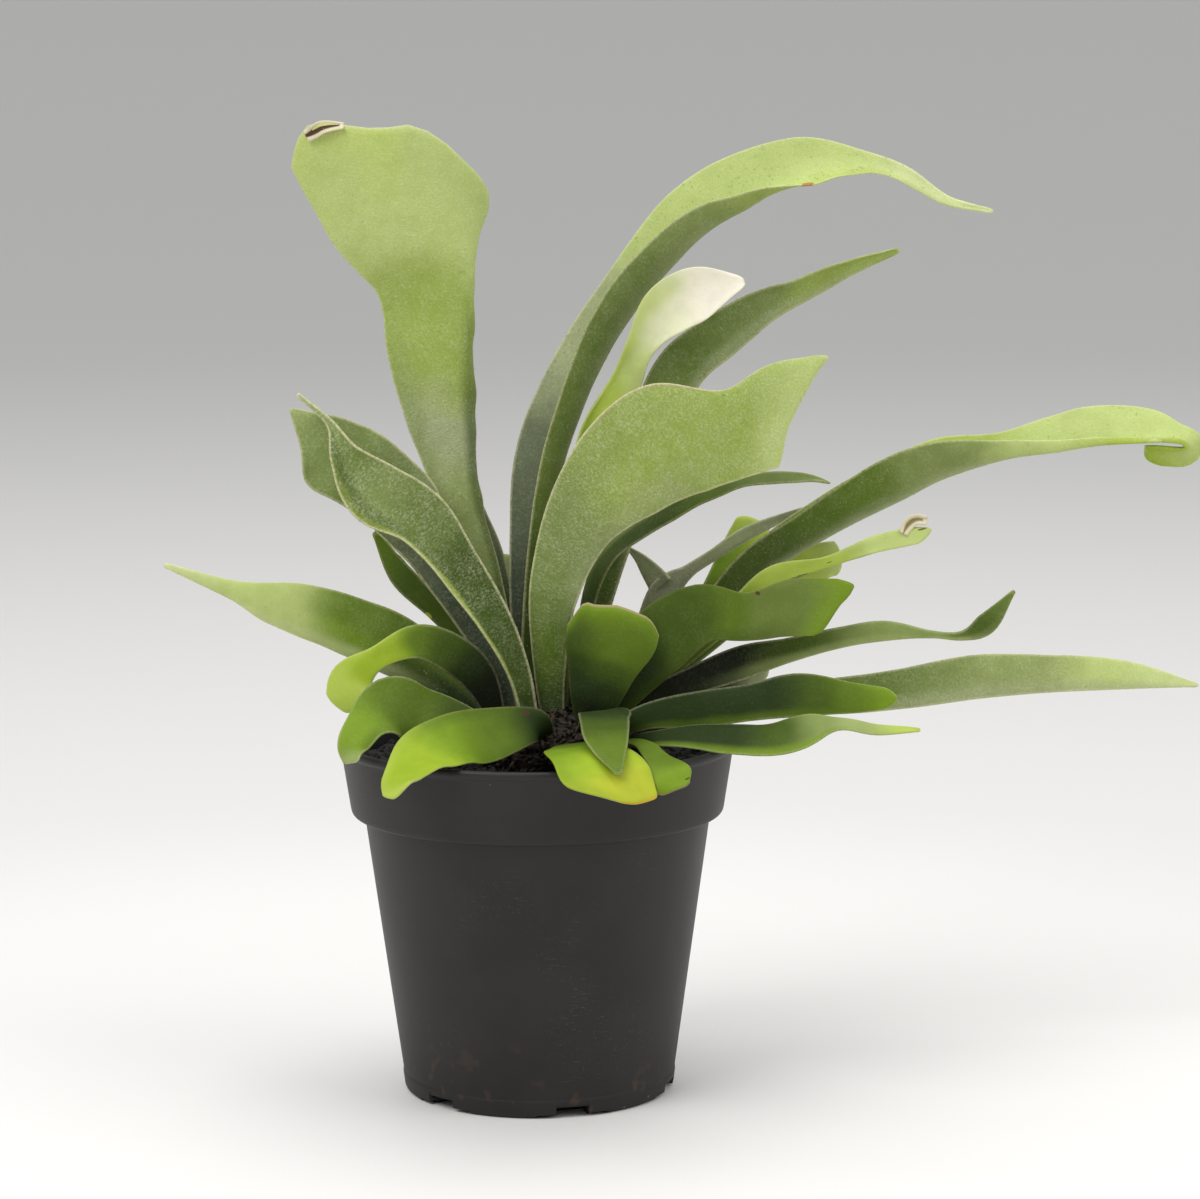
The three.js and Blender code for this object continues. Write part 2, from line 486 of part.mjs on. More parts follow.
// Lumpy ellipsoid of the rhizome, which can be grown by a clearance
function crownSolid(grow = 0) {
  const ball = new THREE.SphereGeometry(1, CROWN_FACETS.round, CROWN_FACETS.rise);
  const position = ball.attributes.position;
  const point = new THREE.Vector3();
  const size = new THREE.Vector3(CROWN.across, CROWN.deep, CROWN.high).addScalar(grow);
  for (let i = 0; i < position.count; i += 1) {
    point.fromBufferAttribute(position, i);
    const lump = Math.sin(7 * point.x + 2) * Math.sin(6 * point.y + 5 * point.z);
    point.multiplyScalar(1 + CROWN_LUMPS * lump).multiply(size);
    position.setXYZ(i, point.x + CROWN.x, point.y + CROWN.y, point.z + CROWN.z);
  }
  return toSolid(ball);
}

function crownGeometry(sockets) {
  return toGeometry(sockets.reduce((solid, socket) => solid.subtract(socket), crownSolid()));
}

// Potting mix fills the pot to below the rim, rough on top, with a hollow that holds the crown.
function soilGeometry() {
  const bandStart = BAND_FOOT + 2;
  const share = (SOIL_LEVEL - bandStart) / (POT_HEIGHT - LIP.drop - bandStart);
  const wallTop = INNER.band + share * (INNER.lip - INNER.band);
  const soil = turned([
    [0, FLOOR + GAP], [INNER.base - 0.8 - GAP, FLOOR + GAP], [INNER.base - GAP, FLOOR + 0.8 + GAP],
    [INNER.shoulder - GAP, BAND_FOOT + 0.8], [INNER.band - GAP, BAND_FOOT + 2.2],
    [wallTop - GAP - 0.1, SOIL_LEVEL - 1], ...SOIL_RINGS.map((radius) => [radius, SOIL_LEVEL]),
  ], SOIL_SIDES);
  const position = soil.attributes.position;
  for (let i = 0; i < position.count; i += 1) {
    if (position.getZ(i) < SOIL_LEVEL - 0.5) continue;
    const x = position.getX(i);
    const y = position.getY(i);
    const bumps = Math.sin(0.31 * x + 1) * Math.cos(0.27 * y) + 0.6 * Math.sin(0.7 * y + 0.5 * x);
    position.setZ(i, SOIL_LEVEL + SOIL_ROUGHNESS * bumps);
  }
  return toGeometry(toSolid(soil).subtract(crownSolid(GAP)));
}

// Colours of the young, felted, shaded and ageing blades
const TINTS = {
  felt: '#7d9a62',
  dark: '#4c6a2c',
  fresh: '#86ad2e',
  lime: '#a9cd5c',
  cream: '#e2e8c4',
  yellow: '#bccb33',
};

const part = new THREE.Group();

function addMesh(name, geometry, color, roughness) {
  const material = new THREE.MeshStandardMaterial({ color, roughness, metalness: 0 });
  const mesh = new THREE.Mesh(geometry, material);
  mesh.name = name;
  part.add(mesh);
}

addMesh('pot', potGeometry(), '#343433', 0.55);
addMesh('potting_mix', soilGeometry(), '#2b2019', 0.95);
addMesh('crown', crownGeometry(FRONDS.map(socketSolid)), '#4a3a22', 0.9);
for (const frond of FRONDS) addMesh(frond.name, frondGeometry(frond), TINTS[frond.tint], 0.7);

export default part;
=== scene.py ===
# %% [markdown]
# # A young staghorn fern in a nursery pot
# About thirty soft, felted fronds fan out of one short crown, in a plain black pot.
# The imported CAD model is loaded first. It is a fixed frame: it says where every piece is and how big.
# Each piece below takes the place of one CAD node, keeps its form and adds what makes it look real.

# %% Load the frame
import math

import bpy
import numpy as np
from mathutils import Matrix, Vector


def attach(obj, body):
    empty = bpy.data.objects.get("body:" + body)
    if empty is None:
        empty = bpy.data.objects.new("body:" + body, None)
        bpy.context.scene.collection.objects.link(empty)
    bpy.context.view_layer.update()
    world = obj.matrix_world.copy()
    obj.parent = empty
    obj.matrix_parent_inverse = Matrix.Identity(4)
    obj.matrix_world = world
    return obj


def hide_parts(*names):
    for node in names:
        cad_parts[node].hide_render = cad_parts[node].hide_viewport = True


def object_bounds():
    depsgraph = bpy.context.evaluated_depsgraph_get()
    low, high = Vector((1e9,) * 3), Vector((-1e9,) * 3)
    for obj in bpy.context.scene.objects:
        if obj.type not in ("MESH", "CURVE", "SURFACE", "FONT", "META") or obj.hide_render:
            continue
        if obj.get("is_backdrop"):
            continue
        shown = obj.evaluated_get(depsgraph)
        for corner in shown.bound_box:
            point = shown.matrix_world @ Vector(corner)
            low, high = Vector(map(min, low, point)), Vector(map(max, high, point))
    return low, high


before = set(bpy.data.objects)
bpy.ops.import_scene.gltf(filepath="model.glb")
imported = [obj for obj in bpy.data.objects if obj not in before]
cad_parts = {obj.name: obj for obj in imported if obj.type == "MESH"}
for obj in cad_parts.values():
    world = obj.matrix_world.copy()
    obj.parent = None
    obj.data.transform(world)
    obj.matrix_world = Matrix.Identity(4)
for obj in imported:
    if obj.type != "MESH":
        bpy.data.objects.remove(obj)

cad_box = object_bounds()
MM = 0.001                       # every size below is in millimetres, and meshes are made in metres
print("CAD nodes:", len(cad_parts), "box in mm:", [[round(c / MM) for c in p] for p in cad_box])

# %% [markdown]
# ## Camera
# A long lens from about a metre away, a little above the plant and tilted down, as for a product picture.
# The horizon leans by a quarter of a degree, so the camera is also rolled about its own axis.

# %% Camera
def add_to_scene(name, data):
    made = bpy.data.objects.new(name, data)
    bpy.context.scene.collection.objects.link(made)
    return made


LENS = 114.0
CAMERA_PLACE = Vector((16.9, -998.0, 275.0)) * MM
CAMERA_TILT = math.radians(90 - 8.17)
CAMERA_ROLL = math.radians(-0.24)

camera_data = bpy.data.cameras.new("camera")
camera_data.lens = LENS
camera = add_to_scene("camera", camera_data)
turn = Matrix.Rotation(CAMERA_TILT, 4, "X") @ Matrix.Rotation(CAMERA_ROLL, 4, "Z")
camera.matrix_world = Matrix.Translation(CAMERA_PLACE) @ turn
bpy.context.scene.camera = camera
print("camera with a", LENS, "mm lens at", [round(c, 3) for c in CAMERA_PLACE])

# %% [markdown]
# ## Light
# Large soft sources: a pale world all round, a wide panel up on the left and a weaker one on the right.
# The wider a panel is, the softer the edge of the shadow that it casts.

# %% Light
bpy.context.scene.view_settings.view_transform = "Standard"
AMBIENT = 0.56
PANELS = {
    "key_panel": {"place": (-900, -900, 1500), "size": 1100, "power": 20.5},
    "fill_panel": {"place": (1100, -500, 900), "size": 900, "power": 6.3},
    "top_panel": {"place": (100, 300, 1600), "size": 1200, "power": 11.0},
}
AIM = Vector((20, 0, 130)) * MM

world = bpy.data.worlds.new("pale_room")
world.use_nodes = True
world.node_tree.nodes["Background"].inputs["Color"].default_value = (0.96, 0.98, 1.0, 1.0)
world.node_tree.nodes["Background"].inputs["Strength"].default_value = AMBIENT
bpy.context.scene.world = world
for name, panel in PANELS.items():
    light_data = bpy.data.lights.new(name, "AREA")
    light_data.size = panel["size"] * MM
    light_data.energy = panel["power"]
    light = add_to_scene(name, light_data)
    light.location = Vector(panel["place"]) * MM
    light.rotation_euler = (AIM - light.location).to_track_quat("-Z", "Y").to_euler()
print("panels:", ", ".join(PANELS))

# %% [markdown]
# ## Nodes as Python
# A node tree reads best when its maths looks like maths. `Value` wraps an output socket, and each
# operator on it adds one Math node. `add_node` makes any other node: its inputs first, then its settings.

# %% Helpers for node trees
def add_node(tree, kind, inputs=None, output=0, **settings):
    """Adds a node, sets it up, fills or links the inputs that are named, and gives one output."""
    node = tree.nodes.new(kind)
    for key, value in settings.items():
        if key == "stops":
            set_stops(node.color_ramp, value)
        else:
            setattr(node, key, value)
    for key, value in (inputs or {}).items():
        if isinstance(value, Value):
            tree.links.new(value.socket, node.inputs[key])
        else:
            node.inputs[key].default_value = value
    return Value(tree, node.outputs[output]) if len(node.outputs) else None


def set_stops(ramp, stops):
    """Gives a colour ramp its stops, each a place from 0 to 1 and a colour."""
    ramp.interpolation = "EASE"
    while len(ramp.elements) > 1:
        ramp.elements.remove(ramp.elements[0])
    for i, (place, colour) in enumerate(stops):
        element = ramp.elements[0] if i == 0 else ramp.elements.new(place)
        element.position = place
        element.color = colour


class Value:
    """An output socket that takes part in arithmetic: each operator adds a Math node."""

    def __init__(self, tree, socket):
        self.tree = tree
        self.socket = socket

    def __getitem__(self, name):
        """Another output of the same node."""
        return Value(self.tree, self.socket.node.outputs[name])

    def math(self, operation, *terms):
        return add_node(self.tree, "ShaderNodeMath", dict(enumerate(terms)), operation=operation)

    def __add__(self, other):
        return self.math("ADD", self, other)

    def __sub__(self, other):
        return self.math("SUBTRACT", self, other)

    def __mul__(self, other):
        return self.math("MULTIPLY", self, other)

    __radd__ = __add__

    def ramp(self, low, high):
        """0 below low, 1 above high and smooth between them; low may be the larger."""
        inputs = {"Value": self, "From Min": low, "From Max": high}
        return add_node(self.tree, "ShaderNodeMapRange", inputs, interpolation_type="SMOOTHSTEP")


# The first, near-black colour is painted shade: the stalk ends of the fronds start with it, where they shade
# each other at the crown.
COLOURS = dict(night="#0d1104", deep="#22320a", moss="#40530f", leaf="#586f16", fresh="#708c19",
    bright="#91a922", lime="#a8bb4b", citron="#c2d35c", lemon="#bac979", pale="#cbd596", olive="#667833",
    felt="#7c8c4b", sage="#93a160", ash="#a4ab80", slate="#3d4636", stone="#626a50", dust="#86886b",
    silver="#bec3a3", cream="#f2ecd9", ivory="#dfe0b8", fringe="#d0caa2", yellow="#a9b02c", gold="#bf9a30",
    tan="#ab9673", rind="#80764a", brown="#4b301e", orange="#a4652c", fern="#98ab4e", bone="#cfc5aa")


def linear(colour):
    """A colour's code, or its name in COLOURS, as the linear numbers that shaders use."""
    code = COLOURS.get(colour, colour)
    parts = [int(code[i:i + 2], 16) / 255 for i in (1, 3, 5)]
    return (*(c / 12.92 if c <= 0.04045 else ((c + 0.055) / 1.055) ** 2.4 for c in parts), 1.0)


class Finish:
    """A material under construction."""

    def __init__(self, name):
        self.material = bpy.data.materials.new(name)
        self.material.use_nodes = True
        self.tree = self.material.node_tree
        self.tree.nodes.clear()
        self.coordinates = self.node("TexCoord")

    def node(self, kind, inputs=None, output=0, **settings):
        return add_node(self.tree, "ShaderNode" + kind, inputs, output, **settings)

    def attribute(self, name):
        return self.node("Attribute", output="Fac", attribute_name=name)

    def place(self, stretch=(1, 1, 1), source="Object"):
        """Object or UV coordinates, with one unit to the millimetre or as many as stretch says."""
        scale = [c / MM for c in stretch] if source == "Object" else stretch
        return self.node("VectorMath", {0: self.coordinates[source], 1: scale}, operation="MULTIPLY")

    def noise(self, size, where=None, detail=2.0):
        """Cloudy noise whose clouds are about that many millimetres across."""
        inputs = {"Vector": where or self.place(), "Scale": 1 / size, "Detail": detail}
        return self.node("TexNoise", inputs)

    def cells(self, size):
        """Distance to the middles of cells that are about that many millimetres across."""
        return self.node("TexVoronoi", {"Vector": self.place(), "Scale": 1 / size})

    def mix(self, first, second, factor):
        """Two colours, each a name, a code or a Value, in the shares that the factor says."""
        first, second = (linear(c) if isinstance(c, str) else c for c in (first, second))
        return self.node("Mix", {0: factor, 6: first, 7: second}, output=2, data_type="RGBA")

    def surface(self, colour, roughness, height=None, depth=0.1, sockets=None):
        """Ends the tree: a Principled shader, with a bump whose height is depth millimetres."""
        inputs = {"Base Color": colour, "Roughness": roughness}
        if height is not None:
            inputs["Normal"] = self.node("Bump", {"Height": height, "Distance": depth * MM})
        inputs.update(sockets or {})
        self.node("OutputMaterial", {"Surface": self.node("BsdfPrincipled", inputs)})
        return self.material


def add_object(name, vertices, faces, material, smooth=True):
    """A mesh object at the origin, from points in millimetres."""
    mesh = bpy.data.meshes.new(name)
    mesh.from_pydata((np.asarray(vertices) * MM).tolist(), [], faces)
    mesh.polygons.foreach_set("use_smooth", [smooth] * len(mesh.polygons))
    mesh.materials.append(material)
    mesh.update()
    return add_to_scene(name, mesh)


def dress(piece, node):
    """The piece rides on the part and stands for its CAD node."""
    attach(piece, "root")
    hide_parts(node)
    return piece


def ring_points(rings, turns):
    """Points of rings round the axis, each with its radius and height, at the same angles."""
    return [(r * math.cos(a), r * math.sin(a), z) for r, z in rings for a in turns]


def closed_faces(rings, sides, first=0):
    """Faces of a closed solid made of rings of points and a pole at each end.

    The poles follow the rings in the list of points, or stand round them if the rings start at 1.
    """
    count = rings * sides
    south, north = 0 if first else count, count + 1
    faces = []
    for j in range(sides):
        near = [first + i * sides + j for i in range(rings)]
        far = [first + i * sides + (j + 1) % sides for i in range(rings)]
        faces.append((south, far[0], near[0]))
        faces += [(near[i], far[i], far[i + 1], near[i + 1]) for i in range(rings - 1)]
        faces.append((near[-1], far[-1], north))
    return faces


# %% [markdown]
# ## Floor
# The pot stands on a pale table in front of a grey wall. One wide shallow bowl does for both: flat and
# white round the pot, greyer further out, and swept up at its edge, so that no horizon shows.

# %% Floor
FLAT_TO, FLOOR_RADIUS, FLOOR_RISE = 2500, 6000, 1800
FLOOR_SIDES, FLOOR_RINGS = 96, 10
WHITE_TO, GREY_FROM = 200, 420

finish = Finish("pale_table")
distance = finish.node("VectorMath", {0: finish.place()}, output="Value", operation="LENGTH")
colour = finish.mix("#e6e3e0", "#dcdad7", distance.ramp(WHITE_TO, GREY_FROM))
floor_finish = finish.surface(colour, 0.6)

floor_rings = [(FLAT_TO, 0)]
for t in np.linspace(1 / FLOOR_RINGS, 1, FLOOR_RINGS):
    floor_rings.append((FLAT_TO + (FLOOR_RADIUS - FLAT_TO) * t, FLOOR_RISE * t * t))
angles = np.linspace(0, 2 * np.pi, FLOOR_SIDES, endpoint=False)
floor_points = ring_points(floor_rings, angles)
floor_faces = [list(range(FLOOR_SIDES))]
for a in range(0, FLOOR_RINGS * FLOOR_SIDES, FLOOR_SIDES):
    for j in range(FLOOR_SIDES):
        k, b = (j + 1) % FLOOR_SIDES, a + FLOOR_SIDES
        floor_faces.append((a + j, b + j, b + k, a + k))
floor = add_object("floor", floor_points, floor_faces, floor_finish)
floor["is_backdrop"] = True
print("floor bowl,", 2 * FLOOR_RADIUS * MM, "m across")

# %% [markdown]
# ## Pot
# A nursery pot is one thin shell of injection-moulded plastic, so it is a solid of revolution: a profile
# turned about the axis. The profile runs up the outside, over the rolled rim and down the inside.
# A hard corner in plastic always has a small radius, which catches a thin line of light, so each
# corner of the profile is rounded before it is turned.

# %% Pot sizes
POT_HEIGHT = 95.0
RIM_RADIUS = 53.0
BAND_HEIGHT = 20.0
BAND_FOOT_RADIUS = 49.8
SHOULDER_RADIUS = 46.2
BASE_RADIUS = 36.2
FOOT_LINE = 5.0
WALL = 1.3
POT_FLOOR = 2.2
BAND_FOOT = POT_HEIGHT - BAND_HEIGHT
DRAIN_SLOTS = 6
FIRST_SLOT = -75.0
SLOT = {"width": 9.0, "height": 3.0, "depth": 10.0}
RECESS = {"width": 19.0, "height": 0.9, "depth": 5.0}
SLOT_REACH = 2.0                 # how far the cutting block stands out past the foot
TURNED_SIDES = 144
CORNER_STEPS, CORNER_RADIUS = 4, 0.6
LEG_SHARE = 0.45                 # most of an edge that one rounded corner may use up


def rounded(profile, radius):
    """The profile with each inner corner replaced by a short curve of about that radius."""
    points = [profile[0]]
    for before, corner, after in zip(profile, profile[1:], profile[2:]):
        corner = np.array(corner, float)
        legs = [np.array(end, float) - corner for end in (before, after)]
        reach = [min(radius, np.linalg.norm(leg) * LEG_SHARE) for leg in legs]
        start, stop = (corner + leg / np.linalg.norm(leg) * r for leg, r in zip(legs, reach))
        for t in np.linspace(0, 1, CORNER_STEPS):
            points.append(tuple((1 - t) ** 2 * start + 2 * t * (1 - t) * corner + t ** 2 * stop))
    return points + [profile[-1]]


def turned(name, profile, material, sides=TURNED_SIDES, lift=None):
    """A closed solid of revolution: the profile starts and ends on the axis."""
    turns = np.linspace(0, 2 * np.pi, sides, endpoint=False)
    poles = [(0, 0, profile[0][1]), (0, 0, profile[-1][1])]
    vertices = np.array(ring_points(profile[1:-1], turns) + poles, float)
    if lift is not None:
        vertices[:, 2] += lift(vertices)
    return add_object(name, vertices, closed_faces(len(profile) - 2, sides), material)


# %% [markdown]
# ### Black plastic
# Recycled polypropylene is a soft charcoal rather than black. What tells the eye that it is used is
# not the colour but the marks: fine pale scratches, a few white specks and rusty water marks low down.
# Scratches are noise squeezed hard in one direction, then cut off so that only its crests remain.

# %% Pot finish
finish = Finish("charcoal_plastic")
cloud = finish.noise(22, detail=4.0)
level = finish.noise(1.0, finish.place((0.35, 0.35, 6.0)), detail=1.0)
slanted = finish.noise(1.0, finish.place((4.0, 4.0, 0.25)), detail=1.0)
rubbed = finish.noise(30).ramp(0.5, 0.72)
scratch = (level.ramp(0.66, 0.78) + slanted.ramp(0.68, 0.8)) * rubbed
speck = finish.cells(3.6).ramp(0.1, 0.03) * finish.noise(11).ramp(0.6, 0.68)
height = finish.node("SeparateXYZ", {0: finish.place()}, output="Z")
low = height.ramp(26, 3)
rust = low * finish.noise(6, detail=3.0).ramp(0.6, 0.72)
colour = finish.mix("#171615", "#201f1e", cloud.ramp(0.3, 0.7))
colour = finish.mix(colour, "#7c7974", scratch * 0.3)
colour = finish.mix(colour, "#9a968d", speck * 0.5)
colour = finish.mix(colour, "#4a3426", rust * 0.55)
roughness = 0.42 + cloud * 0.16 + scratch * 0.1 + low * 0.08
grain = finish.noise(0.5) * 0.35 + scratch * 0.5
plastic = finish.surface(colour, roughness, grain, 0.05, {"Specular IOR Level": 0.35})

# %% Pot
POT_PROFILE = [
    (0, 0), (BASE_RADIUS - 0.8, 0), (BASE_RADIUS, 0.8), (BASE_RADIUS + 0.5, FOOT_LINE - 0.4),
    (BASE_RADIUS + 0.3, FOOT_LINE), (SHOULDER_RADIUS, BAND_FOOT), (BAND_FOOT_RADIUS - 1.2, BAND_FOOT),
    (BAND_FOOT_RADIUS - 0.3, BAND_FOOT + 0.5), (BAND_FOOT_RADIUS, BAND_FOOT + 1.5),
    (RIM_RADIUS - 0.7, POT_HEIGHT - 2.4), (RIM_RADIUS, POT_HEIGHT - 1.8), (RIM_RADIUS, POT_HEIGHT - 0.5),
    (RIM_RADIUS - 0.5, POT_HEIGHT), (RIM_RADIUS - 1.6, POT_HEIGHT), (RIM_RADIUS - 2.1, POT_HEIGHT - 0.6),
    (BAND_FOOT_RADIUS - WALL, BAND_FOOT + 2), (SHOULDER_RADIUS - WALL, BAND_FOOT + 0.6),
    (BASE_RADIUS - WALL - 0.3, POT_FLOOR + 0.8), (BASE_RADIUS - WALL - 1.1, POT_FLOOR), (0, POT_FLOOR),
]


def cut_box(piece, angle, size):
    """Cuts a slot through the foot of the pot, centred at that angle round it."""
    inner = BASE_RADIUS + SLOT_REACH - size["depth"]
    half = np.array([size["depth"] / 2, size["width"] / 2, size["height"]])
    signs = [(i, j, k) for i in (-1, 1) for j in (-1, 1) for k in (-1, 1)]
    corners = half * signs + (inner + half[0], 0, 0)
    spin = np.array(Matrix.Rotation(math.radians(angle), 3, "Z"))
    sides = [(0, 1, 3, 2), (4, 6, 7, 5), (0, 4, 5, 1), (2, 3, 7, 6), (0, 2, 6, 4), (1, 5, 7, 3)]
    cutter = add_object("cutter", corners @ spin.T, sides, piece.data.materials[0])
    cut = piece.modifiers.new("cut", "BOOLEAN")
    cut.operation = "DIFFERENCE"
    cut.object = cutter
    apply_modifiers(piece)
    bpy.data.objects.remove(cutter)


def apply_modifiers(piece):
    """Replaces the piece's mesh by what its modifiers make of it."""
    bpy.context.view_layer.update()
    evaluated = piece.evaluated_get(bpy.context.evaluated_depsgraph_get())
    made = bpy.data.meshes.new_from_object(evaluated)
    piece.modifiers.clear()
    piece.data = made


pot = turned("moulded_pot", rounded(POT_PROFILE, CORNER_RADIUS), plastic)
for i in range(DRAIN_SLOTS):
    for size in (SLOT, RECESS):
        cut_box(pot, FIRST_SLOT + i * 360 / DRAIN_SLOTS, size)
dress(pot, "pot")
print("pot:", len(pot.data.polygons), "faces")

# %% [markdown]
# ## Scattering one small thing over another
# Bark crumbs, crown scales and the star hairs of the felt are all the same job: points on a surface,
# a small mesh on each point with its own size and turn. One Geometry Nodes tree does all three.
# Its sizes are named inputs, and its seed is fixed, so that it gives the same result each time.

# %% Scatter tree
SCATTER_INPUTS = {"Surface": "Geometry", "Piece": "Object", "Finish": "Material", "Spin": "Vector",
                  "Per Square Metre": "Float", "Smallest": "Float", "Largest": "Float", "Seed": "Int"}


def scatter_tree():
    tree = bpy.data.node_groups.new("scatter", "GeometryNodeTree")
    for name, kind in SCATTER_INPUTS.items():
        tree.interface.new_socket(name, in_out="INPUT", socket_type="NodeSocket" + kind)
    tree.interface.new_socket("Result", in_out="OUTPUT", socket_type="NodeSocketGeometry")
    given = add_node(tree, "NodeGroupInput")
    seed = given["Seed"]
    cover = add_node(tree, "GeometryNodeInputNamedAttribute", {"Name": "cover"})
    density = cover * given["Per Square Metre"]
    points = add_node(tree, "GeometryNodeDistributePointsOnFaces",
                      {"Mesh": given["Surface"], "Density": density, "Seed": seed})
    spin = add_node(tree, "FunctionNodeRandomValue", {1: given["Spin"], "Seed": seed},
                    data_type="FLOAT_VECTOR")
    turned_by = add_node(tree, "FunctionNodeRotateRotation", {0: points["Rotation"], 1: spin},
                         rotation_space="LOCAL")
    between = {2: given["Smallest"], 3: given["Largest"], "Seed": seed}
    size = add_node(tree, "FunctionNodeRandomValue", between, output=1, data_type="FLOAT")
    piece = add_node(tree, "GeometryNodeObjectInfo", {"Object": given["Piece"], "As Instance": True})
    inputs = {"Points": points, "Instance": piece["Geometry"], "Rotation": turned_by, "Scale": size}
    placed = add_node(tree, "GeometryNodeInstanceOnPoints", inputs)
    solid = add_node(tree, "GeometryNodeRealizeInstances", {"Geometry": placed})
    done = add_node(tree, "GeometryNodeSetMaterial", {"Geometry": solid, "Material": given["Finish"]})
    add_node(tree, "NodeGroupOutput", {0: done})
    return tree


SCATTER = scatter_tree()
TRIANGLE_LIMIT = 195000
FULL_TURN = 2 * math.pi
CM2_PER_M2 = 1e4


def scatter(name, surface, piece, finish, per_cm2, sizes, lean, seed):
    """The surface turns into a plain mesh of copies of the piece, strewn over it and leaning about."""
    modifier = surface.modifiers.new("scatter", "NODES")
    modifier.node_group = SCATTER
    values = {"Piece": piece, "Finish": finish, "Per Square Metre": per_cm2 * CM2_PER_M2,
              "Smallest": sizes[0], "Largest": sizes[1], "Spin": (lean, lean, FULL_TURN), "Seed": seed}
    for item in SCATTER.interface.items_tree:
        if item.name in values:
            modifier[item.identifier] = values[item.name]
    apply_modifiers(surface)
    surface.data.materials.clear()
    surface.data.materials.append(finish)
    surface.name = surface.data.name = name
    triangles = sum(len(p.vertices) - 2 for p in surface.data.polygons)
    print(name + ":", triangles, "triangles")
    assert triangles < TRIANGLE_LIMIT, name
    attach(surface, "root")


def set_attribute(piece, name, values):
    """Stores one number for each point of the mesh."""
    layer = piece.data.attributes.new(name, "FLOAT", "POINT")
    layer.data.foreach_set("value", np.asarray(values, np.float32).ravel())


# %% [markdown]
# ## Potting mix
# An epiphyte grows in chopped bark, peat and perlite rather than in soil. The mix is one rough solid
# that fills the pot and dips under the crown, with loose crumbs of bark strewn over it.

# %% Potting mix
CROWN = {"x": 6.0, "y": 0.0, "z": 92.0, "across": 22.0, "deep": 18.0, "high": 9.5}
SOIL_LEVEL = 88.0
SOIL_GAP = 0.3
SOIL_TOP_RINGS, SOIL_SIDES = 34, 96

finish = Finish("bark_mix")
bark = finish.cells(3.0)
tone = finish.noise(5, detail=4.0)
# The mix is coloured near black, darker than its bark is: painted shade of the fronds that crowd over the
# pot.
colour = finish.mix("#060403", "#1a130e", tone.ramp(0.35, 0.75))
colour = finish.mix(colour, "#332820", finish.noise(1.2).ramp(0.6, 0.75) * 0.5)
MIX_FINISH = finish.surface(colour, 0.9, tone * 0.6 + bark * 0.4, depth=1.2)


def mix_lift(points):
    """Height that the top of the mix has over the plain profile, in millimetres."""
    x, y, z = points.T
    bumps = 0.7 * np.sin(0.31 * x + 1) * np.cos(0.27 * y) + 0.5 * np.sin(0.7 * y + 0.5 * x)
    bumps += 0.35 * np.sin(1.7 * x + 2 * y) * np.sin(1.9 * y - 1.1 * x)
    share = ((x - CROWN["x"]) / (CROWN["across"] + 1)) ** 2 + ((y - CROWN["y"]) / (CROWN["deep"] + 1)) ** 2
    under = CROWN["z"] - (CROWN["high"] + 1) * np.sqrt(np.clip(1 - share, 0, 1)) - SOIL_GAP
    top = np.where(share < 1, np.minimum(SOIL_LEVEL + bumps, under), SOIL_LEVEL + bumps)
    return np.where(z > SOIL_LEVEL - 0.01, top - z, 0)


inner_top = BAND_FOOT_RADIUS - WALL + 1.6
mix_profile = [
    (0, POT_FLOOR + SOIL_GAP), (BASE_RADIUS - WALL - 1.5, POT_FLOOR + SOIL_GAP),
    (SHOULDER_RADIUS - WALL - SOIL_GAP, BAND_FOOT + 0.6),
    (BAND_FOOT_RADIUS - WALL - SOIL_GAP, BAND_FOOT + 2.4),
    (inner_top - 0.6, SOIL_LEVEL - 1.2),
    *[(r, SOIL_LEVEL) for r in np.linspace(inner_top - 1.2, 0, SOIL_TOP_RINGS)],
]
potting_mix = turned("bark_potting_mix", mix_profile, MIX_FINISH, sides=SOIL_SIDES, lift=mix_lift)
dress(potting_mix, "potting_mix")
print("potting mix:", len(potting_mix.data.polygons), "faces")


# %% Loose crumbs
CRUMB_SIDES, CRUMB_FLAT = 6, 0.55
CRUMBS_FROM, CRUMBS_TO = 8, 47.5  # distances from the axis
DISC_RINGS, DISC_SPOKES = 12, 49


def lump(name, seed):
    """A small closed stone-like mesh, three rings of points between two poles."""
    rng = np.random.default_rng(seed)
    vertices = [(0, 0, -CRUMB_FLAT)]
    for rise in (-0.7, 0.15, 0.85):
        r, z = math.cos(rise), CRUMB_FLAT * math.sin(rise)
        for i in range(CRUMB_SIDES):
            a = 2 * math.pi * (i + 0.3 * z) / CRUMB_SIDES
            vertices.append((r * math.cos(a), r * math.sin(a), z))
    vertices.append((0, 0, CRUMB_FLAT))
    vertices = np.array(vertices) * rng.uniform(0.75, 1.2, (len(vertices), 1))
    return add_object(name, vertices, closed_faces(3, CRUMB_SIDES, first=1), MIX_FINISH, smooth=False)


def disc_of_mix():
    """A ring of open surface just on top of the mix, to strew crumbs on."""
    turns = np.linspace(0, 2 * np.pi, DISC_SPOKES)
    rings = [(r, SOIL_LEVEL) for r in np.linspace(CRUMBS_FROM, CRUMBS_TO, DISC_RINGS)]
    points = np.array(ring_points(rings, turns))
    points[:, 2] += mix_lift(points)
    corners = [i * DISC_SPOKES + j for i in range(DISC_RINGS - 1) for j in range(DISC_SPOKES - 1)]
    faces = [(a, a + DISC_SPOKES, a + DISC_SPOKES + 1, a + 1) for a in corners]
    disc = add_object("mix_surface", points, faces, MIX_FINISH)
    set_attribute(disc, "cover", np.ones(len(points)))
    return disc


crumb = lump("crumb", seed=3)
scatter("bark_crumbs", disc_of_mix(), crumb, MIX_FINISH, per_cm2=22, sizes=(0.5, 1.7),
        lean=1.2, seed=5)
bpy.data.objects.remove(crumb)

# %% [markdown]
# ## Crown
# The fronds spring from a short creeping stem, wrapped in papery brown scales. It is a lumpy
# ellipsoid here, and each scale is a pointed, slightly hollow leaf that leans along the surface.

# %% Crown
CROWN_COLUMNS, CROWN_ROWS = 64, 32
SCALE_LENGTH, SCALE_WIDTH = 3.4, 1.1

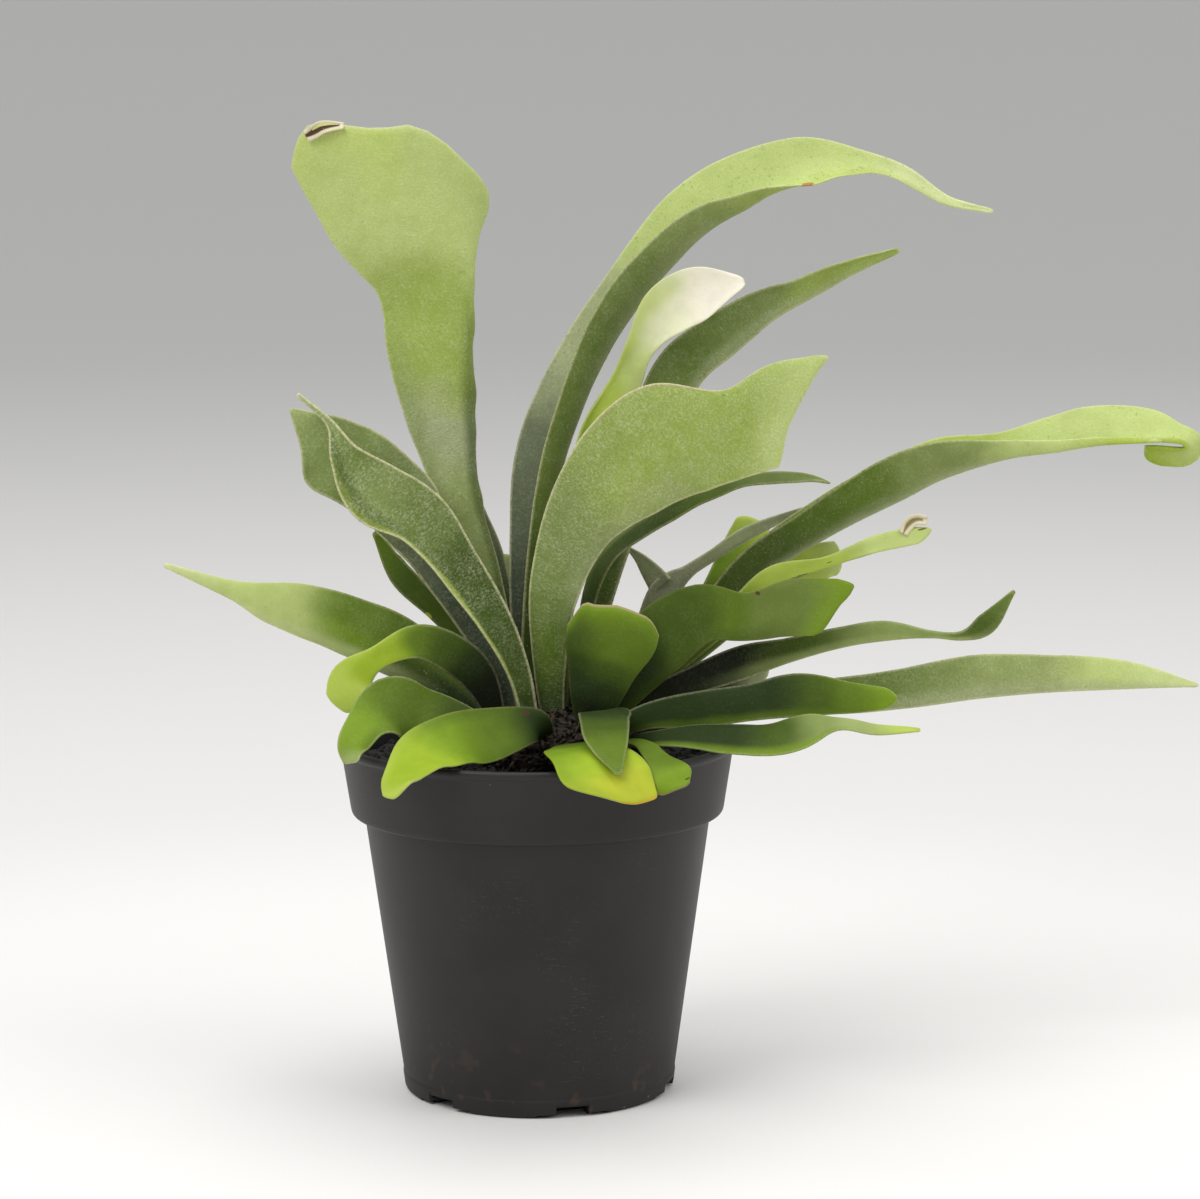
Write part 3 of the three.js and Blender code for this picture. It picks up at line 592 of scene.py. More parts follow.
finish = Finish("papery_scales")
tone = finish.noise(2.5, detail=3.0)
colour = finish.mix("#0f0a05", "#3a2b19", tone.ramp(0.35, 0.7))
CROWN_FINISH = finish.surface(colour, 0.85, tone, depth=0.3)


def crown_points(latitude, longitude):
    unit = np.stack([np.cos(latitude) * np.cos(longitude), np.cos(latitude) * np.sin(longitude),
                     np.sin(latitude)], -1)
    lumps = 1 + 0.025 * np.sin(7 * unit[..., 0] + 2) * np.sin(6 * unit[..., 1] + 5 * unit[..., 2])
    size = np.array([CROWN["across"], CROWN["deep"], CROWN["high"]])
    return unit * lumps[..., None] * size + (CROWN["x"], CROWN["y"], CROWN["z"])


latitude = np.linspace(-np.pi / 2, np.pi / 2, CROWN_ROWS + 1)[1:-1]
longitude = np.linspace(0, 2 * np.pi, CROWN_COLUMNS, endpoint=False)
grid = crown_points(*np.meshgrid(latitude, longitude, indexing="ij")).reshape(-1, 3)
poles = crown_points(np.array([-np.pi / 2, np.pi / 2]), np.zeros(2))
points, faces = np.vstack([grid, poles]), closed_faces(CROWN_ROWS - 1, CROWN_COLUMNS)
crown = add_object("rhizome", points, faces, CROWN_FINISH)
dress(crown, "crown")

scale_outline = [(0, 0, 0), (0.5, 0.3, 0.35), (0.45, 0.7, 0.3)]
scale_outline += [(0, 1, 0.1), (-0.45, 0.7, 0.3), (-0.5, 0.3, 0.35)]
scale_points = np.array(scale_outline + [(0, 0.4, 0.75)]) * (SCALE_WIDTH, SCALE_LENGTH, 1.2)
scale_faces = [(i, (i + 1) % 6, 6) for i in range(6)] + [(5, 4, 3, 2, 1, 0)]
scale_leaf = add_object("scale_leaf", scale_points, scale_faces, CROWN_FINISH)
bed = add_object("scale_bed", points, faces, CROWN_FINISH)
set_attribute(bed, "cover", points[:, 2] > SOIL_LEVEL)
scatter("crown_scales", bed, scale_leaf, CROWN_FINISH, per_cm2=60, sizes=(0.6, 1.2), lean=0.5,
        seed=11)
bpy.data.objects.remove(scale_leaf)

# %% [markdown]
# ## Fronds
# Each frond is one skin swept along a rib. The rib is a curve through a few points, and at each point
# the blade leaves it to both sides: how far, and in which direction, as an angle. With both sides
# turned towards the viewer the blade is a channel, and with both turned the same way it is folded.
# The same rule and the same numbers make the CAD solids. Here each blade has many more points, a soft
# wave, a rounded edge and faint sunken veins.

# %% Frond shapes
FRONDS = []


def blade(rib, left, left_turn, right, right_turn, **more):
    """Points of the rib, and for each side its widths in millimetres and its angles in degrees."""
    sides = {"left": left, "left_turn": left_turn, "right": right, "right_turn": right_turn}
    return {"rib": rib, **sides, **more}


def frond(name, tint, *shape, **more):
    """More can be the way the blade faces, the reach of its tip, a ripple, or a lobe: a second blade."""
    FRONDS.append({"name": name, "tint": tint, **blade(*shape, **more)})


frond("tall_fan", "felt", [[-5, 8, 97.5], [-8.7, 10, 119], [-14, 12, 140.5], [-19.5, 13, 158.5],
    [-21.8, 15, 176.5], [-23, 16, 196], [-23, 16, 216], [-29, 13, 237], [-34.5, 8, 264.3]],
    [2.2, 2.8, 4.8, 7.4, 12.8, 17.4, 21.5, 30.3, 38], [190, 195, 195], [2.2, 2.6, 3.6, 4.8, 6.6, 7.6, 7.9,
    20.5, 25], [-10, -25, -35, -30, -5], tip=[0.966, 0.988, 0.977, 0.967, 0.966, 0.947, 0.914, 0.883,
    0.852], ripple=[1.2, 1.5, 0.1],
    lobe=blade([[-60.1, 14.9, 253.8], [-56, 13.5, 256.3], [-50.1, 12.1, 256.7]],
        [1.6, 1.6, 0.6], [170], [1.8, 2.6, 1.6], [40, 60]))
frond("tall_arch", "felt", [[0.5, 3, 98], [-0.5, 4, 119], [2.8, 7.5, 145.8], [7.4, 12, 168.8],
    [15.5, 14, 189.2], [27.1, 15, 208.2], [42.8, 15, 226], [56.6, 14, 235.7], [71.6, 12, 244.5],
    [86.2, 10, 246.3], [97.5, 8, 243], [108.5, 6, 236.5], [120.4, 4, 233.6]],
    [2.2, 6, 10.3, 13.6, 13.3, 12.6, 14.7, 14.4, 9.2, 3.4, 2.4, 1.3, 0.5], [185, 195, 205, 205, 200, 190,
    185], [2.2, 4.5, 6.4, 7.4, 9.4, 12.2, 10.1, 6.2, 7, 3.4, 2.2, 1.3, 0.5], [150, 140, 140, 140, 140, 140,
    140, 125, 55, 40, 30, 20, 0])
frond("young_cream", "cream", [[6.5, 2.5, 98], [7.5, 5, 120], [9, 6, 145], [11, 6, 165], [15, 5, 179],
    [22.5, 4, 189], [29, 3, 198.5], [36, 2, 207], [45, 1, 212.8], [55, 0, 215.8]],
    [1.6, 1.8, 2, 2, 1.9, 2.6, 5.3, 8.7, 7.6, 1.2], [170], [1.6, 1.8, 2, 2, 2.6, 5.2, 2.8, 5.5, 5.7, 1.4],
    [20, 10])
frond("back_slim", "felt", [[10.5, 9, 97], [15.5, 14.5, 123], [22, 20, 147.5], [29.2, 25, 169.4],
    [38.5, 29, 189], [48.9, 32, 199.7], [61.4, 34, 207.8], [72.4, 35, 211.9], [83.1, 35, 217],
    [98.3, 34, 222.2]],
    [2, 3, 4.5, 6, 7.3, 5.6, 3.8, 2.9, 2, 0.7], [170], [2, 3, 4.5, 6, 6.2, 7.2, 5.6, 3.6, 2.9, 0.7], [10])
frond("broad_front", "felt", [[4.5, -2, 97], [4, -3, 113], [5, -5, 133.5], [12.5, -7, 152.5],
    [24, -8, 165.8], [36.8, -9, 174.9], [50.7, -9, 180.8], [64.6, -8, 185.8], [80.1, -7, 191.2]],
    [2.6, 4.7, 6.8, 10.9, 15.7, 16.4, 7.4, 9.2, 6.5], [185], [2.6, 3.6, 6, 8.5, 13, 15.5, 16.5, 17, 17],
    [-5], tip=[0.998, 0.993, 0.978, 0.955, 0.932, 0.903, 0.87, 0.849, 0.839], ripple=[0.8, 1.5, 0])
frond("edge_on", "dark", [[11, 2.5, 97.5], [11.5, 4, 112], [13, 4, 126], [17, 4, 139.5], [26, 4, 149],
    [36, 4, 155], [47, 3, 160.5], [58, 2, 163.6], [69, 1, 164.1], [77.8, 0, 162.5]],
    [1.8, 2.4, 3, 4, 4.6, 4, 3.2, 2.6, 2, 0.6], [235, 245], [1.8, 2.4, 3, 4, 5, 5, 5, 4, 3, 0.6], [60, 75])
frond("left_front", "felt", [[-1.5, -4, 98], [-4.5, -6, 112.5], [-10.5, -9, 127], [-19.5, -11, 141.5],
    [-30.5, -12, 153], [-40.5, -12, 162], [-48, -11, 172], [-53.5, -9, 180], [-62, -7, 187.3]],
    [2.2, 3, 4.7, 5.8, 5.6, 9.4, 6.1, 1.2, 0.5], [160], [2.2, 3, 4.5, 5.7, 9.6, 8.3, 2.6, 1, 0.5], [5])
frond("left_behind", "felt", [[-6, 0.5, 97.5], [-10.5, 0, 112], [-18, -1, 125.5], [-27.2, -2, 139.3],
    [-37.8, -2, 152.3], [-46, -2, 164.1], [-53.5, -2, 171.5], [-59.5, -2, 177.1], [-64.1, -2, 182.9]],
    [2, 2.6, 3, 3.3, 4.1, 8.7, 10.5, 3.7, 0.5], [165], [2, 3, 4.5, 8, 15, 13.1, 10.1, 6.4, 0.5], [0])
frond("left_dark", "dark", [[-7.5, 5, 97], [-12, 7, 108], [-18, 9, 117.5], [-26, 10, 127], [-35, 11, 138],
    [-43.5, 11, 148.5]],
    [1.6, 2, 2.4, 3, 4.9, 0.6], [175], [1.6, 2, 2, 2.7, 1.3, 0.7], [5])
frond("left_long", "felt", [[-11, 3, 95.5], [-22, 8, 106], [-37, 12, 114], [-51, 15, 119.5],
    [-66.5, 16, 125], [-81.5, 16, 131], [-100.3, 15, 139.5]],
    [2, 4, 6.5, 6.5, 5.5, 2.2, 0.5], [210, 215], [2, 6, 10.5, 11, 9.5, 4, 0.5], [-10])
frond("left_curl", "fresh", [[-9.5, -2.5, 97], [-15.3, -6, 111], [-22.5, -9, 118.5], [-31.5, -12, 122.3],
    [-41.8, -15, 118.4], [-48.2, -17, 112.8], [-49.5, -18, 104.7]],
    [1.8, 4, 4.5, 4.2, 3, 5.5, 5], [170], [1.8, 5, 5.5, 4.6, 3.2, 5.8, 5], [-5], tip=[0.94, 1, 0.94])
frond("left_ruffled", "fresh", [[-8, -7.5, 96], [-21.3, -14, 103.6], [-30, -20, 105.5], [-37.5, -26, 106.5],
    [-43.1, -31, 104.3], [-46.8, -36, 99.3], [-47.2, -38, 95]],
    [1.8, 3.6, 7, 8.5, 6, 4, 2.6], [150], [1.8, 3.8, 7.5, 9, 6, 4, 2.6], [-30], ripple=[1, 2.5, 0.2])
frond("front_droop", "fresh", [[2.5, -11.5, 95.3], [0, -20, 101.6], [-11.5, -30, 101.2],
    [-21, -39.5, 100.5], [-28.5, -48, 98.2], [-33.5, -55.5, 93.5], [-35.1, -60, 90]],
    [2, 4.5, 7.5, 8.2, 8.4, 6, 3], [145, 145, 122, 122], [2, 4.5, 7.5, 8.4, 8.6, 6, 3], [-30, -35, -50,
    -55], tip=[0.95, 1, 0.95])
frond("front_yellow", "yellow", [[7.5, -12.5, 93.5], [10, -24, 97], [13.5, -36, 98.8], [18.5, -46.5, 99.2],
    [24, -54.5, 94.8], [28.6, -59, 88.8]],
    [2, 5, 7.8, 5, 6, 3.7], [180, 172, 165, 165], [5.5, 5.6, 11.9, 15.7, 17.8, 5.6], [-5], face=[0, 0, 1])
frond("front_green", "fresh", [[15, -11, 94], [22.5, -22, 97.3], [27.3, -33, 98.5], [30.5, -42.5, 97.4],
    [33.7, -50, 94.1], [35.9, -53, 90.5]],
    [1.8, 3.5, 3, 3.6, 6.4, 4], [180, 172, 165], [1.8, 3, 2.2, 2.8, 4.2, 4.7], [0, 0, 2, -6, -28], face=[0,
    0, 1])
frond("front_pointed", "dark", [[10.5, -8.5, 96.5], [16.8, -19, 104.7], [17.8, -32, 104.4],
    [19, -46.5, 101.5], [21.5, -60, 96.1]],
    [1.8, 7, 6.5, 4.8, 0.8], [180], [1.8, 6, 6.2, 5.6, 0.8], [0], face=[0, -0.3, 1])
frond("short_upright", "fresh", [[12, -6, 97], [16, -8.5, 105.5], [19.2, -10, 114], [20.8, -10.5, 122],
    [21.5, -10.5, 133.5]],
    [1.8, 8, 11.8, 13.1, 12], [190], [1.8, 5.2, 7.2, 11, 12], [-5], tip=[0.856, 0.961, 0.956, 0.957, 0.959,
    0.941, 0.919, 0.891, 0.824])
frond("forked", "fresh", [[16.5, -4, 97], [24, -5, 108], [33, -6, 118.5], [44, -6, 126.5], [56, -5, 128],
    [68, -4, 129.5], [85, -3, 131]],
    [2, 5, 11.1, 10.1, 6.1, 8, 6.2], [180], [2, 4.6, 6.4, 5.5, 6.8, 7.3, 8.4], [0], tip=[0.986, 0.998, 0.99,
    0.978, 0.958, 0.943, 0.929, 0.917, 0.908], ripple=[0.8, 2, 0.3])
frond("right_dark", "dark", [[21.5, -1.5, 96], [31, -1, 105], [43, 0, 110.3], [55.3, 2, 114.5],
    [67.5, 3, 117.5], [80.8, 4, 120.6], [93, 4, 122.4], [105, 4, 121.4], [113.5, 4, 121], [120, 3, 124.5],
    [127, 2, 133.3]],
    [2, 3, 3.8, 4.4, 3.2, 2.7, 2.6, 1, 1.2, 2.8, 0.4], [190], [2, 3, 3.8, 4.4, 3.2, 2.7, 2.6, 1, 1.2, 2.8,
    0.4], [5])
frond("right_pale", "felt", [[21, 6, 95], [40.2, 10, 101], [60.6, 14, 102.5], [81.1, 17, 102.6],
    [99.5, 19, 104.3], [119, 20, 107.2], [139.3, 20, 108], [159.7, 19, 107.7], [178.7, 17, 105.2]],
    [2, 3, 3.6, 4.8, 5.4, 5.9, 5, 3.8, 0.5], [195], [2, 3, 3.6, 4.8, 5.4, 5.9, 5, 3.8, 0.5], [10])
frond("right_front", "fresh", [[17.5, -8.5, 96.4], [28.8, -12, 103], [42.5, -15, 105.9],
    [56.2, -18.5, 108.1], [68.8, -21, 110.2], [82.4, -23, 109.3], [94.1, -24, 108.8]],
    [2, 2.6, 3.4, 3.8, 4.8, 3.6, 2.4], [195], [2, 4.2, 6, 5.8, 6.4, 4.4, 2.4], [10], tip=[0.97, 1, 0.97])
frond("right_low", "fresh", [[20.5, -8, 94], [31, -15.5, 97], [42, -20.5, 98.6], [53, -26, 99],
    [63, -29.5, 99.6], [71, -31, 102.3], [78.5, -32, 103.8], [88, -31, 102], [99.5, -30, 101.5]],
    [1.8, 2.6, 4, 5, 5.4, 5, 2.2, 1.8, 0.5], [235], [1.8, 2.6, 4.4, 5.6, 6, 5, 2.2, 1.8, 0.5], [55, 50, 40])
frond("long_right", "felt", [[15, 6.5, 97.5], [28, 9, 110], [43, 12, 119.5], [59.2, 16, 133.5],
    [70.9, 19, 141.7], [84.5, 21, 149], [98.1, 22, 155.4], [111.5, 22, 162.1], [125.7, 21, 166.5],
    [139, 20, 169], [151.3, 18, 171.6], [164.5, 16, 172.1], [172.6, 15, 171.8], [173.4, 16, 169.5],
    [163.3, 17, 170]],
    [2.2, 4, 7, 9, 11, 12.5, 13.5, 12.5, 8, 9.7, 10, 9.2, 5.2, 6, 6.2], [205, 215, 220, 220, 220, 220, 220,
    220, 215, 210, 205, 215, 215, 215, 215], [2.2, 4, 7, 11.5, 11.4, 13.7, 15.8, 13.1, 6.8, 3.5, 1.2, 0.8,
    0.7, 0.7, 0.7], [150, 145, 140])
frond("brown_tip", "lime", [[19, 3, 97], [28, 3, 106], [40, 3, 117], [53, 4, 128], [64, 5, 135.5],
    [77.5, 7, 140.3], [90.9, 8, 144.7], [105.3, 8, 149.2]],
    [1.8, 2.6, 3, 3, 4.5, 1.8, 2.9, 1.5], [180], [1.8, 2.6, 3, 3, 1.2, 1.2, 1.8, 3.2], [10], tip=[0.96, 1,
    0.97],
    lobe=blade([[97.8, 8, 147.9], [99.2, 8.5, 150.5], [101.3, 8.5, 151.8], [104.2, 8, 151.6]],
        [1.2, 1.6, 1.4, 1], [160], [1.2, 1.6, 1.6, 1.4], [30, 50]))
frond("back_lime", "lime", [[11, 12, 97], [27, 18, 106], [40, 25, 114.5], [50, 34, 127], [57.5, 42, 139],
    [63.6, 47, 148.5]],
    [1.8, 3, 4.5, 6, 7, 7.2], [180], [1.8, 3, 4.5, 6, 7, 7.2], [0], tip=[0.93, 0.95, 0.9])
frond("back_right", "lime", [[17, 11, 96], [31, 17, 106], [46, 23, 118], [62, 28, 130.5], [75.8, 31, 137],
    [83, 32, 138.5]],
    [1.8, 3, 4, 4.6, 5, 4.6], [180], [1.8, 3, 4, 4.6, 5, 4.6], [0], tip=[0.98, 1, 0.97])
frond("back_forked", "felt", [[6, 12, 97.5], [14, 17, 108], [29.3, 22, 117.4], [34.3, 26, 130],
    [40.9, 29, 134.8], [47.8, 31, 138.9], [57.9, 31, 145.4], [72.3, 30, 152.1]],
    [2, 3, 5, 3.9, 2.1, 2, 2.2, 0.5], [180], [2, 3, 4.4, 5, 1.6, 1.2, 1.5, 0.5], [0],
    lobe=blade([[34.1, 26, 131.6], [30.5, 27, 135.9], [27.8, 27.5, 139.1], [24.9, 28, 141.7]],
        [3.8, 2.6, 1.5, 0.5], [180], [3, 2.4, 1.4, 0.5], [0]))
frond("back_pale", "lime", [[15.5, 12.5, 94], [28, 20, 101], [41, 25, 105], [53, 28, 107], [63, 29, 108]],
    [1.8, 3, 4, 4.5, 3], [185], [1.8, 3, 4, 4.5, 3], [0], tip=[0.97, 1, 0.97])
frond("back_short", "lime", [[1, 10.5, 97], [-2, 16, 112], [-6, 22, 126], [-9.3, 30, 140]],
    [1.8, 3, 4.5, 4], [180], [1.8, 2.6, 3.2, 2.6], [0], tip=[0.97, 1, 0.97])
frond("behind_fan", "dark", [[-3.5, 11, 97.5], [-6.9, 15, 113.2], [-8.8, 19, 129], [-11.4, 21, 142.3],
    [-15.4, 22, 155]],
    [1.6, 2, 2.4, 2, 0.5], [180], [1.6, 2, 2.2, 1.8, 0.5], [0])
print("fronds:", len(FRONDS))


# %% Blade surface
def smooth(values, at):
    """Values of an evenly spread list at places from 0 to 1, on a smooth curve through it."""
    rows = np.array(values, float)
    rows = rows[:, None] if rows.ndim == 1 else rows
    if len(rows) == 1:
        return np.repeat(rows, len(at), 0)
    x = np.clip(at, 0, 1) * (len(rows) - 1)
    i = np.minimum(x.astype(int), len(rows) - 2)
    f = (x - i)[:, None]
    padded = np.vstack([2 * rows[0] - rows[1], rows, 2 * rows[-1] - rows[-2]])
    a, b, c, d = (padded[i + k] for k in range(4))
    cubed = (3 * b - a - 3 * c + d) * f ** 3
    return 0.5 * (2 * b + (c - a) * f + (2 * a - 5 * b + 4 * c - d) * f ** 2 + cubed)


def unit(vectors):
    return vectors / np.linalg.norm(vectors, axis=1)[:, None]


NARROWEST = 0.3                  # least width of one side of a blade
STEP = 1e-3                      # share of a rib over which its direction is taken


def blade_surface(frond, along, across):
    """Points of the middle of a blade, for equally long lists of along and across."""
    reach = smooth(frond.get("tip", [1]), (across + 1) / 2)[:, 0]
    u = along - (1 - reach) * along ** 2
    ahead = smooth(frond["rib"], np.minimum(u + STEP, 1))
    tangent = unit(ahead - smooth(frond["rib"], np.maximum(u - STEP, 0)))
    face = np.array(frond.get("face", [0, -1, 0]), float)
    towards = unit(face - (tangent @ face)[:, None] * tangent)
    rightwards = np.cross(tangent, towards)
    sides = {}
    for name in ("left", "right"):
        width = np.maximum(smooth(frond[name], u), NARROWEST)
        angle = np.radians(smooth(frond[name + "_turn"], u))
        sides[name] = width * (np.cos(angle) * rightwards + np.sin(angle) * towards)
    spread, bow = (sides["right"] - sides["left"]) / 2, (sides["right"] + sides["left"]) / 2
    points = smooth(frond["rib"], u) + across[:, None] * spread + (across ** 2)[:, None] * bow
    if "ripple" in frond:
        size, count, start = frond["ripple"]
        wave = np.sin(2 * np.pi * (count * u + start)) * np.minimum(1, 4 * u)
        lift = size * wave * np.sign(across) * np.abs(across) ** 1.5
        points += lift[:, None] * unit(np.cross(spread, tangent))
    return points


# %% [markdown]
# ### From surface to blade
# A real blade is about as thick as card, thicker at its stalk and thin at its margin. The mesh has an
# upper and a lower grid, with a third row of points round the rim that makes the edge round. Numbers
# are kept for every point, for the material to use: how far along the frond it is, how far across, how
# many millimetres in from the margin, and on which face.

# %% Blade mesh
ROW, LEAST_ROWS = 1.7, 24        # length of frond to each row of points
RIB_SAMPLES = 60                 # for measuring the length of a rib
COLUMNS = 18
BLADE, STIPE = 0.9, 1.7          # thickness of the blade and of the stalk
STIPE_SHARE = 0.25               # share of the length in which the stalk thins to a blade
EDGE_THINNING = 0.55
SOFT_WAVE, WAVELENGTHS = 0.28, (34, 21, 13)
RIM_BULGE = 0.6                  # of half the blade's thickness
CORNER = 0.03                    # share of the length by which blunt tips are rounded


def soft_waves(along, across, length, seed):
    """Small bends that no two blades share, in millimetres, none at the stalk and weaker along the rib."""
    rng = np.random.default_rng(seed)
    total = np.zeros_like(along)
    for wavelength in WAVELENGTHS:
        phase, slant = rng.uniform(0, 2 * np.pi), rng.uniform(-1.2, 1.2)
        wave = np.sin(2 * np.pi * along * length / wavelength + slant * across + phase)
        total += wave * wavelength / WAVELENGTHS[0]
    return SOFT_WAVE * total * np.minimum(1, 3 * along) * (0.25 + 0.75 * across ** 2)


def grid_normals(grid):
    """Unit normals of a grid of points, on the side of the blade's upper face."""
    forward, sideways = np.gradient(grid, axis=0), np.gradient(grid, axis=1)
    return unit(np.cross(sideways, forward).reshape(-1, 3)).reshape(grid.shape)


def blade_mesh(frond, seed):
    """Points, faces and the numbers kept for each point of one closed blade."""
    rib = smooth(frond["rib"], np.linspace(0, 1, RIB_SAMPLES))
    length = np.linalg.norm(np.diff(rib, axis=0), axis=1).sum()
    rows = max(LEAST_ROWS, round(length / ROW))
    u, v = np.meshgrid(np.linspace(0, 1, rows + 1), np.sin(np.linspace(-np.pi / 2, np.pi / 2, COLUMNS + 1)),
                       indexing="ij")
    blunt = min(1.0, smooth(frond["left"], np.ones(1))[0, 0] / 3)
    u_used = u - CORNER * blunt * u ** 6 * np.abs(v) ** 7
    grid = blade_surface(frond, u_used.ravel(), v.ravel()).reshape(rows + 1, COLUMNS + 1, 3)
    normals = grid_normals(grid)
    grid = grid + soft_waves(u, v, length, seed)[..., None] * normals
    normals = grid_normals(grid)
    stalk = np.clip(1 - u / STIPE_SHARE, 0, 1) ** 2
    thin = 1 - EDGE_THINNING * np.maximum(np.abs(v) ** 8, u ** 60)
    half = ((BLADE + (STIPE - BLADE) * stalk) * thin / 2)[..., None] * normals
    across_steps = np.linalg.norm(np.diff(grid, axis=1), axis=2)
    from_left = np.hstack([np.zeros((rows + 1, 1)), np.cumsum(across_steps, 1)])
    from_tip = (1 - u) * length
    margin = np.minimum(np.minimum(from_left, from_left[:, -1:] - from_left), from_tip)
    numbers = {"along": u, "across": v, "margin": margin, "width": from_left, "travel": u * length}
    return join_faces(grid, half, numbers)


def join_faces(grid, half, numbers):
    """Upper and lower grids joined by a rim that bulges a little past both."""
    index = np.arange(grid[..., 0].size).reshape(grid.shape[:2])
    loop = np.concatenate([index[0, :-1], index[:-1, -1], index[-1, :0:-1], index[:0:-1, 0]])
    out = np.zeros_like(grid)
    out[:, 0] += unit(grid[:, 0] - grid[:, 1])
    out[:, -1] += unit(grid[:, -1] - grid[:, -2])
    out[-1] += unit(grid[-1] - grid[-2])
    out = out.reshape(-1, 3)[loop]
    out /= np.maximum(np.linalg.norm(out, axis=1), 1)[:, None]
    bulge = RIM_BULGE * np.linalg.norm(half, axis=2).ravel()[loop][:, None]
    rim = grid.reshape(-1, 3)[loop] + out * bulge
    points = np.vstack([(grid + half).reshape(-1, 3), (grid - half).reshape(-1, 3), rim])
    a, b, c, d = index[:-1, :-1], index[:-1, 1:], index[1:, 1:], index[1:, :-1]
    upper = np.stack([a, b, c, d], -1).reshape(-1, 4)
    lower = np.stack([a, d, c, b], -1).reshape(-1, 4) + index.size
    middle = 2 * index.size + np.arange(len(loop))
    far, far_middle = np.roll(loop, -1), np.roll(middle, -1)
    above = np.stack([far, loop, middle, far_middle], -1)
    below = np.stack([far_middle, middle, loop + index.size, far + index.size], -1)
    edge = np.stack([above, below], 1).reshape(-1, 4)
    faces = np.vstack([upper, lower, edge]).tolist()
    kept = {name: np.concatenate([n.ravel(), n.ravel(), n.ravel()[loop]]) for name, n in numbers.items()}
    kept["under"] = np.repeat([0, 1, 0.5], [index.size, index.size, len(loop)])
    return points, faces, kept


# %% [markdown]
# ### Felt, shading and margins
# A staghorn's blade is green, but what one sees is a felt of tiny star-shaped hairs over it. Where the
# felt is thick the frond is grey-green and matt, and where it is rubbed or young the bright green of
# the blade shows. So each face of a blade has its colours from stalk to tip, then bands that follow the
# blade, such as a pale lower half or a lime lip, then short pale streaks of felt, the line of longer
# hairs at the margin, and marks of age. The near-black colours at the stalk end, and a few dark bands,
# are painted shade: the shade that the crowded fronds cast on each other at the crown and in folds.
# The net of veins is so faint that it is only in the relief.

# %% Frond colours
FELTED_BACK = " olive felt sage ash"      # a lower face without colours of its own goes on so
LOOKS = {}


def look(name, felt, upper, bands=(), lower=None, lower_bands=(), **more):
    """Amount of felt, then each face's colours from stalk to tip and its bands.

    A band runs across from one place to another, -1 left to 1 right, with its colour and strength,
    between two places along the frond.  Marks have a place along and across, a size and a colour.
    """
    lower = lower or " ".join(upper.split()[:2]) + FELTED_BACK
    faces = {"upper": (upper, bands), "lower": (lower, lower_bands)}
    LOOKS[name] = {"felt": felt, **faces, **more}


# The moss band along the right side of the upper face is painted shade: that wall turns away from the light.
look("tall_fan", 0.6, "deep olive sage sage ash fern fern lemon lemon",
    [[0.15, 0.6, "moss", 0.65, 0.1, 0.68], [-0.45, -0.9, "felt", 0.6, 0.15, 0.62],
    [0.0, -0.2, "citron", 0.75, 1.0, 1.5]], lobe="brown bone")
look("tall_arch", 0.45, "slate slate stone ash lemon lemon lemon pale pale",
    [[0.2, 0.9, "lime", 0.5, 0.5, 0.9]], lower="deep moss olive olive felt fern lemon lemon pale",
    lower_bands=[[0.75, 0.05, "ash", 0.7, 0.05, 0.7]], marks=[[0.665, 0.95, 1.1, "orange"]])
look("young_cream", 0.1, "moss fresh fresh bright lime lemon ivory cream cream",
    [[-0.1, -0.9, "lime", 0.8, 0.2, 0.82], [0.4, 0.8, "tan", 0.35, 0.45, 0.62]])
look("back_slim", 0.5, "deep moss felt olive felt fern fern", [[0.3, 0.8, "ash", 0.5, 0.2, 0.95]])
look("broad_front", 0.85, "deep leaf felt fern fern fern lemon", [[0.1, -0.7, "felt", 0.35, 0.2, 0.6],
    [0.1, 0.8, "ash", 0.35, 0.2, 0.7], [-0.94, -1.0, "tan", 0.7, 0.55, 0.85]])
look("edge_on", 0.2, "night deep moss moss leaf olive olive", [[-0.2, -0.8, "sage", 0.7, 0.35, 1.2]],
    lower="night deep moss moss leaf moss leaf")
# The moss band just inside the lime lip, on the left towards the tip, is painted shadow of the curled left
# margin.
look("left_front", 0.9, "deep moss moss moss olive felt olive felt ash",
    [[-0.72, -0.92, "lime", 0.85, 0.08, 0.78], [-0.35, -0.6, "moss", 0.6, 0.5, 0.9]])
look("left_behind", 0.5, "slate slate slate stone olive felt felt sage",
    [[-0.5, -0.9, "moss", 0.6, 0.05, 0.5], [0.3, 0.9, "ash", 0.5, 0.2, 0.6]])
look("left_dark", 0.1, "night moss moss moss leaf", marks=[[0.12, 0.4, 3.0, "orange"],
    [0.62, -0.9, 1.6, "yellow"]])
look("left_long", 0.25, "night deep moss fresh lemon lemon pale", [[0.0, 0.6, "leaf", 0.85, 0.1, 0.6],
    [0.0, -0.5, "pale", 0.5, 0.3, 0.9]])
# This frond arches over: the dark stops along its near half and its dark lower face are painted shade under
# the arch.
look("left_curl", 0.1, "night night deep moss leaf bright bright lime lime",
    [[0.1, 0.9, "lime", 0.5, 0.6, 1.2]], lower="night night deep moss fresh fresh")
look("left_ruffled", 0.12, "night moss leaf leaf fresh fresh sage", [[-0.2, -0.9, "leaf", 0.7, 0.3, 0.9]],
    lower="deep leaf fresh felt felt sage")
look("front_droop", 0.05, "night deep leaf fresh bright bright lime", [[0.4, 0.9, "moss", 0.5, 0.2, 0.6],
    [0.5, 0.95, "lime", 0.5, 0.6, 1.2]], marks=[[0.2, 0.6, 1.5, "brown"]], edge="tan")
look("front_yellow", 0.03, "night moss leaf fresh bright yellow yellow",
    [[-0.3, -0.9, "bright", 0.6, 0.3, 0.95], [0.55, 0.95, "fresh", 0.6, 0.3, 0.9]], edge="yellow",
    end="gold")
look("front_green", 0.05, "night moss leaf leaf leaf fresh fresh", marks=[[0.93, -0.8, 1.6, "brown"]],
    edge="rind", end="rind")
